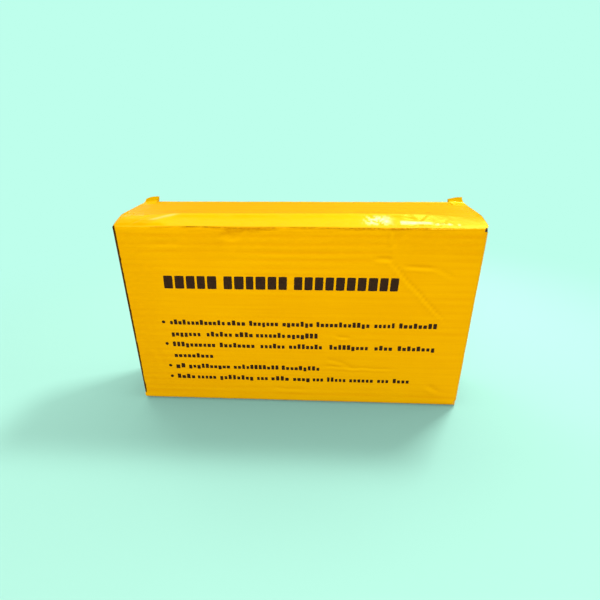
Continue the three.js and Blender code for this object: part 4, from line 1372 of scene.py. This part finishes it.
def circuit_board():
    m = Paint("circuit_board")
    blotches = m.noise(240, detail=2, rough=0.4)
    cells = m.node("TexVoronoi", Vector=m.scaled((1, 0, 1)), Scale=380.0,
                   feature="DISTANCE_TO_EDGE").outputs["Distance"]
    tracks = m.ramp(cells, 0.02, 0.06, 1.0, 0.0)
    color = m.mix(m.ramp(blotches, 0.35, 0.65), (0.005, 0.09, 0.03), (0.01, 0.14, 0.05))
    color = m.tint(color, tracks, 0.45, (0.03, 0.24, 0.09))
    return m.finish(Base_Color=color, Roughness=0.32, Coat_Weight=0.4, Coat_Roughness=0.1,
                    Normal=m.bump(tracks, strength=0.3, distance=0.00005))


def lcd_face():
    m = Paint("lcd_face")
    fine = m.noise(1600, detail=2, rough=0.5)
    color = m.mix(m.ramp(m.noise(20, detail=2, rough=0.5), 0.3, 0.7),
                  (0.30, 0.37, 0.25), (0.36, 0.42, 0.29))
    return m.finish(Base_Color=color, Roughness=0.28, Coat_Weight=0.5, Coat_Roughness=0.05,
                    Normal=m.bump(fine, strength=0.08, distance=0.00003))


def clear_window():
    m = Paint("clear_window")
    smears = m.noise(500, detail=5, rough=0.7, stretch=(1, 1, 0.2))
    return m.finish(Base_Color=(0.92, 0.96, 0.97), Transmission_Weight=1.0, IOR=1.49,
                    Roughness=m.lerp(m.ramp(smears, 0.62, 0.8), 0.04, 0.22),
                    Normal=m.bump(smears, strength=0.05, distance=0.00002))


def copper_winding():
    """Turns of wire spread round an axis along y, placed in metres."""
    m = Paint("copper_winding")
    place = m.node("SeparateXYZ", Vector=m.coord).outputs
    angle = m.math("ARCTAN2", m.math("SUBTRACT", place[2], 0.0286),
                   m.math("ADD", place[0], 0.012))
    turns = m.math("SINE", m.math("MULTIPLY", angle, 34.0))
    wire = m.ramp(m.math("ADD", m.math("MULTIPLY", turns, 0.5), 0.5), 0.15, 0.55)
    return m.finish(Base_Color=m.mix(wire, (0.02, 0.02, 0.02), (0.50, 0.20, 0.05)),
                    Metallic=m.lerp(wire, 0.0, 0.85), Roughness=0.3, Coat_Weight=0.3,
                    Normal=m.bump(turns, strength=0.8, distance=0.0003))


FINISHES = {
    "heatsink": metal("brushed_plate", (0.58, 0.60, 0.62), rough=0.36, stretch=(0.02, 1, 1)),
    "shell_plastic": plastic("controller_shell", (0.022, 0.024, 0.027), rough=0.5, grain=1100,
                             bump=0.4),
    "overlay_film": plastic("face_film", (0.012, 0.060, 0.20), rough=0.33, grain=1700,
                            bump=0.12, specular=0.5, vary=0.15),
    "clear_window": clear_window(),
    "lcd_glass": lcd_face(),
    "diffuser": plastic("diffuser_white", (0.78, 0.80, 0.82), rough=0.5, grain=800, bump=0.1,
                        vary=0.05),
    "button_rubber": plastic("key_rubber", (0.10, 0.11, 0.12), rough=0.62, grain=1300,
                             bump=0.3, specular=0.3),
    "circuit_board": circuit_board(),
    "terminal_plastic": plastic("terminal_green", (0.012, 0.19, 0.05), rough=0.42, bump=0.2),
    "plated_steel": metal("plated_steel", (0.62, 0.63, 0.65), rough=0.27),
    "clamp_brass": metal("clamp_brass", (0.70, 0.50, 0.20), rough=0.3),
    "black_plastic": plastic("socket_black", (0.016, 0.016, 0.018), rough=0.42, bump=0.2),
    "chip_black": plastic("chip_epoxy", (0.014, 0.014, 0.016), rough=0.55, grain=1500,
                          bump=0.3),
    "ferrite": copper_winding(),
    "capacitor_sleeve": plastic("capacitor_sleeve", (0.018, 0.026, 0.07), rough=0.25,
                                bump=0.05, specular=0.5),
}
# Bevel widths that differ from the usual 0.12 mm, or 0.3 mm on buttons
BEVELS = {
    "front_cover": 0.5, "heatsink_back_plate": 0.25, "terminal_block_housing": 0.25,
    "dc_jack_solar": 0.4, "dc_jack_lamp": 0.4, "main_pcb": 0.08, "lcd_panel": 0.15,
    "lcd_backlight": 0.2, "inductor": 0.25, "face_overlay": 0.06,
}


def finish_controller():
    slot_of = {part["node"]: part["material_slot"] for part in frame["record"]["subparts"]}
    for name, part in frame["nodes"].items():
        finish = FINISHES.get(slot_of.get(name))
        if part.hide_render or finish is None:
            continue
        part.data.materials.clear()
        part.data.materials.append(finish)
        part.data.shade_smooth()
        part.data.set_sharp_from_angle(angle=math.radians(32))
        bevel = part.modifiers.new("edge", "BEVEL")
        bevel.width = BEVELS.get(name, 0.3 if name.startswith("button") else 0.12) / 1000
        bevel.segments = 2
        bevel.limit_method = "ANGLE"
        bevel.angle_limit = math.radians(40)
        bevel.harden_normals = True


finish_controller()

# ------------------------------------------------------------------ floor, light, camera
AQUA = (0.515, 1.0, 0.84)
WARM = (1.0, 0.985, 0.95)


def build_floor():
    """Aqua to the camera, glowing evenly far out; neutral to every other ray."""
    material = bpy.data.materials.new("studio_floor")
    s = Shader(material, "OutputMaterial")
    position = s.node("NewGeometry").outputs["Position"]
    distance = s.node("VectorMath", position, operation="LENGTH").outputs["Value"]
    far = s.node("MapRange", Value=distance, From_Min=0.14, From_Max=0.32, To_Min=0.08,
                 To_Max=1.0, interpolation_type="SMOOTHSTEP").outputs[0]
    seen = s.mix_shader(far, s.node("BsdfDiffuse", Color=(0.385, 0.75, 0.63)),
                        s.node("Emission", Color=AQUA, Strength=1.0))
    neutral = s.node("BsdfDiffuse", Color=(0.42, 0.40, 0.36))
    camera_ray = s.node("LightPath").outputs["Is Camera Ray"]
    s.put(s.output, s.mix_shader(camera_ray, neutral, seen).outputs[0])
    mesh = bpy.data.meshes.new("floor")
    half = 4.0
    mesh.from_pydata([(-half, -half, 0), (half, -half, 0), (half, half, 0), (-half, half, 0)],
                     [], [(0, 1, 2, 3)])
    mesh.materials.append(material)
    floor = bpy.data.objects.new("floor", mesh)
    scene.collection.objects.link(floor)
    floor.location.z = -0.0002


def build_world():
    """Aqua to the camera, a warm white light to the rest, weaker in reflections."""
    scene.world = bpy.data.worlds.new("studio")
    s = Shader(scene.world, "OutputWorld")
    rays = s.node("LightPath").outputs
    strength = s.node("Math", rays["Is Glossy Ray"], -0.36, 0.45, operation="MULTIPLY_ADD")
    ambient = s.node("Background", Color=WARM, Strength=strength.outputs[0])
    backdrop = s.node("Background", Color=AQUA, Strength=1.0)
    s.put(s.output, s.mix_shader(rays["Is Camera Ray"], ambient, backdrop).outputs[0])


def area(name, place, target, size, power, color=(1, 1, 1), size_y=None):
    """An area light at place, turned to target. Metres and watts."""
    light = bpy.data.lights.new(name, "AREA")
    light.energy = power
    light.color = color
    light.size = size
    if size_y:
        light.shape = "RECTANGLE"
        light.size_y = size_y
    lamp = bpy.data.objects.new(name, light)
    lamp.location = place
    lamp.rotation_mode = "QUATERNION"
    lamp.rotation_quaternion = (Vector(target) - Vector(place)).to_track_quat("-Z", "Y")
    scene.collection.objects.link(lamp)


def build_lights():
    area("key_softbox", (-0.03, 0.33, 0.62), (0, 0, 0.06), size=0.74, size_y=0.30, power=1.15,
         color=WARM)
    area("side_key", (0.24, 0.20, 0.58), (0, 0, 0.04), size=0.12, size_y=0.10, power=2.35,
         color=WARM)
    area("glint", (0.02, -0.03, 0.85), (0, 0, 0.08), size=0.07, size_y=0.07, power=0.35)
    area("front_fill", (-0.07, -0.79, 0.24), (0, 0, 0.045), size=0.52, size_y=0.38, power=4.38,
         color=(1.0, 0.98, 0.95))
    area("right_fill", (0.85, 0.0, 0.30), (0, 0, 0.04), size=0.5, power=1.1)
    area("left_fill", (-0.85, 0.10, 0.26), (0, 0, 0.04), size=0.5, power=1.0)
    area("back_right_fill", (0.62, 0.62, 0.30), (0, 0, 0.04), size=0.4, power=1.4)
    area("back_left_fill", (-0.62, 0.62, 0.30), (0, 0, 0.04), size=0.4, power=1.4)


def build_camera():
    data = bpy.data.cameras.new("camera")
    data.sensor_width = 36
    data.lens = 24.816
    data.clip_start = 0.005
    camera = bpy.data.objects.new("camera", data)
    scene.collection.objects.link(camera)
    scene.camera = camera
    place = (0.010994, -0.179498, 0.129266)
    pitch, yaw, roll = (math.radians(a) for a in (-24.572, -3.453, -0.585))
    forward = np.array([math.sin(yaw) * math.cos(pitch), math.cos(yaw) * math.cos(pitch),
                        math.sin(pitch)])
    level = np.array([math.cos(yaw), -math.sin(yaw), 0])
    above = np.cross(level, forward)
    right = level * math.cos(roll) + above * math.sin(roll)
    up = -level * math.sin(roll) + above * math.cos(roll)
    rows = [(right[k], up[k], -forward[k], place[k]) for k in range(3)]
    camera.matrix_world = Matrix([*rows, (0, 0, 0, 1)])


build_floor()
build_world()
build_lights()
build_camera()
scene.view_settings.view_transform = "Standard"
scene.view_settings.look = "None"
scene.view_settings.exposure = 0
scene.view_settings.gamma = 1
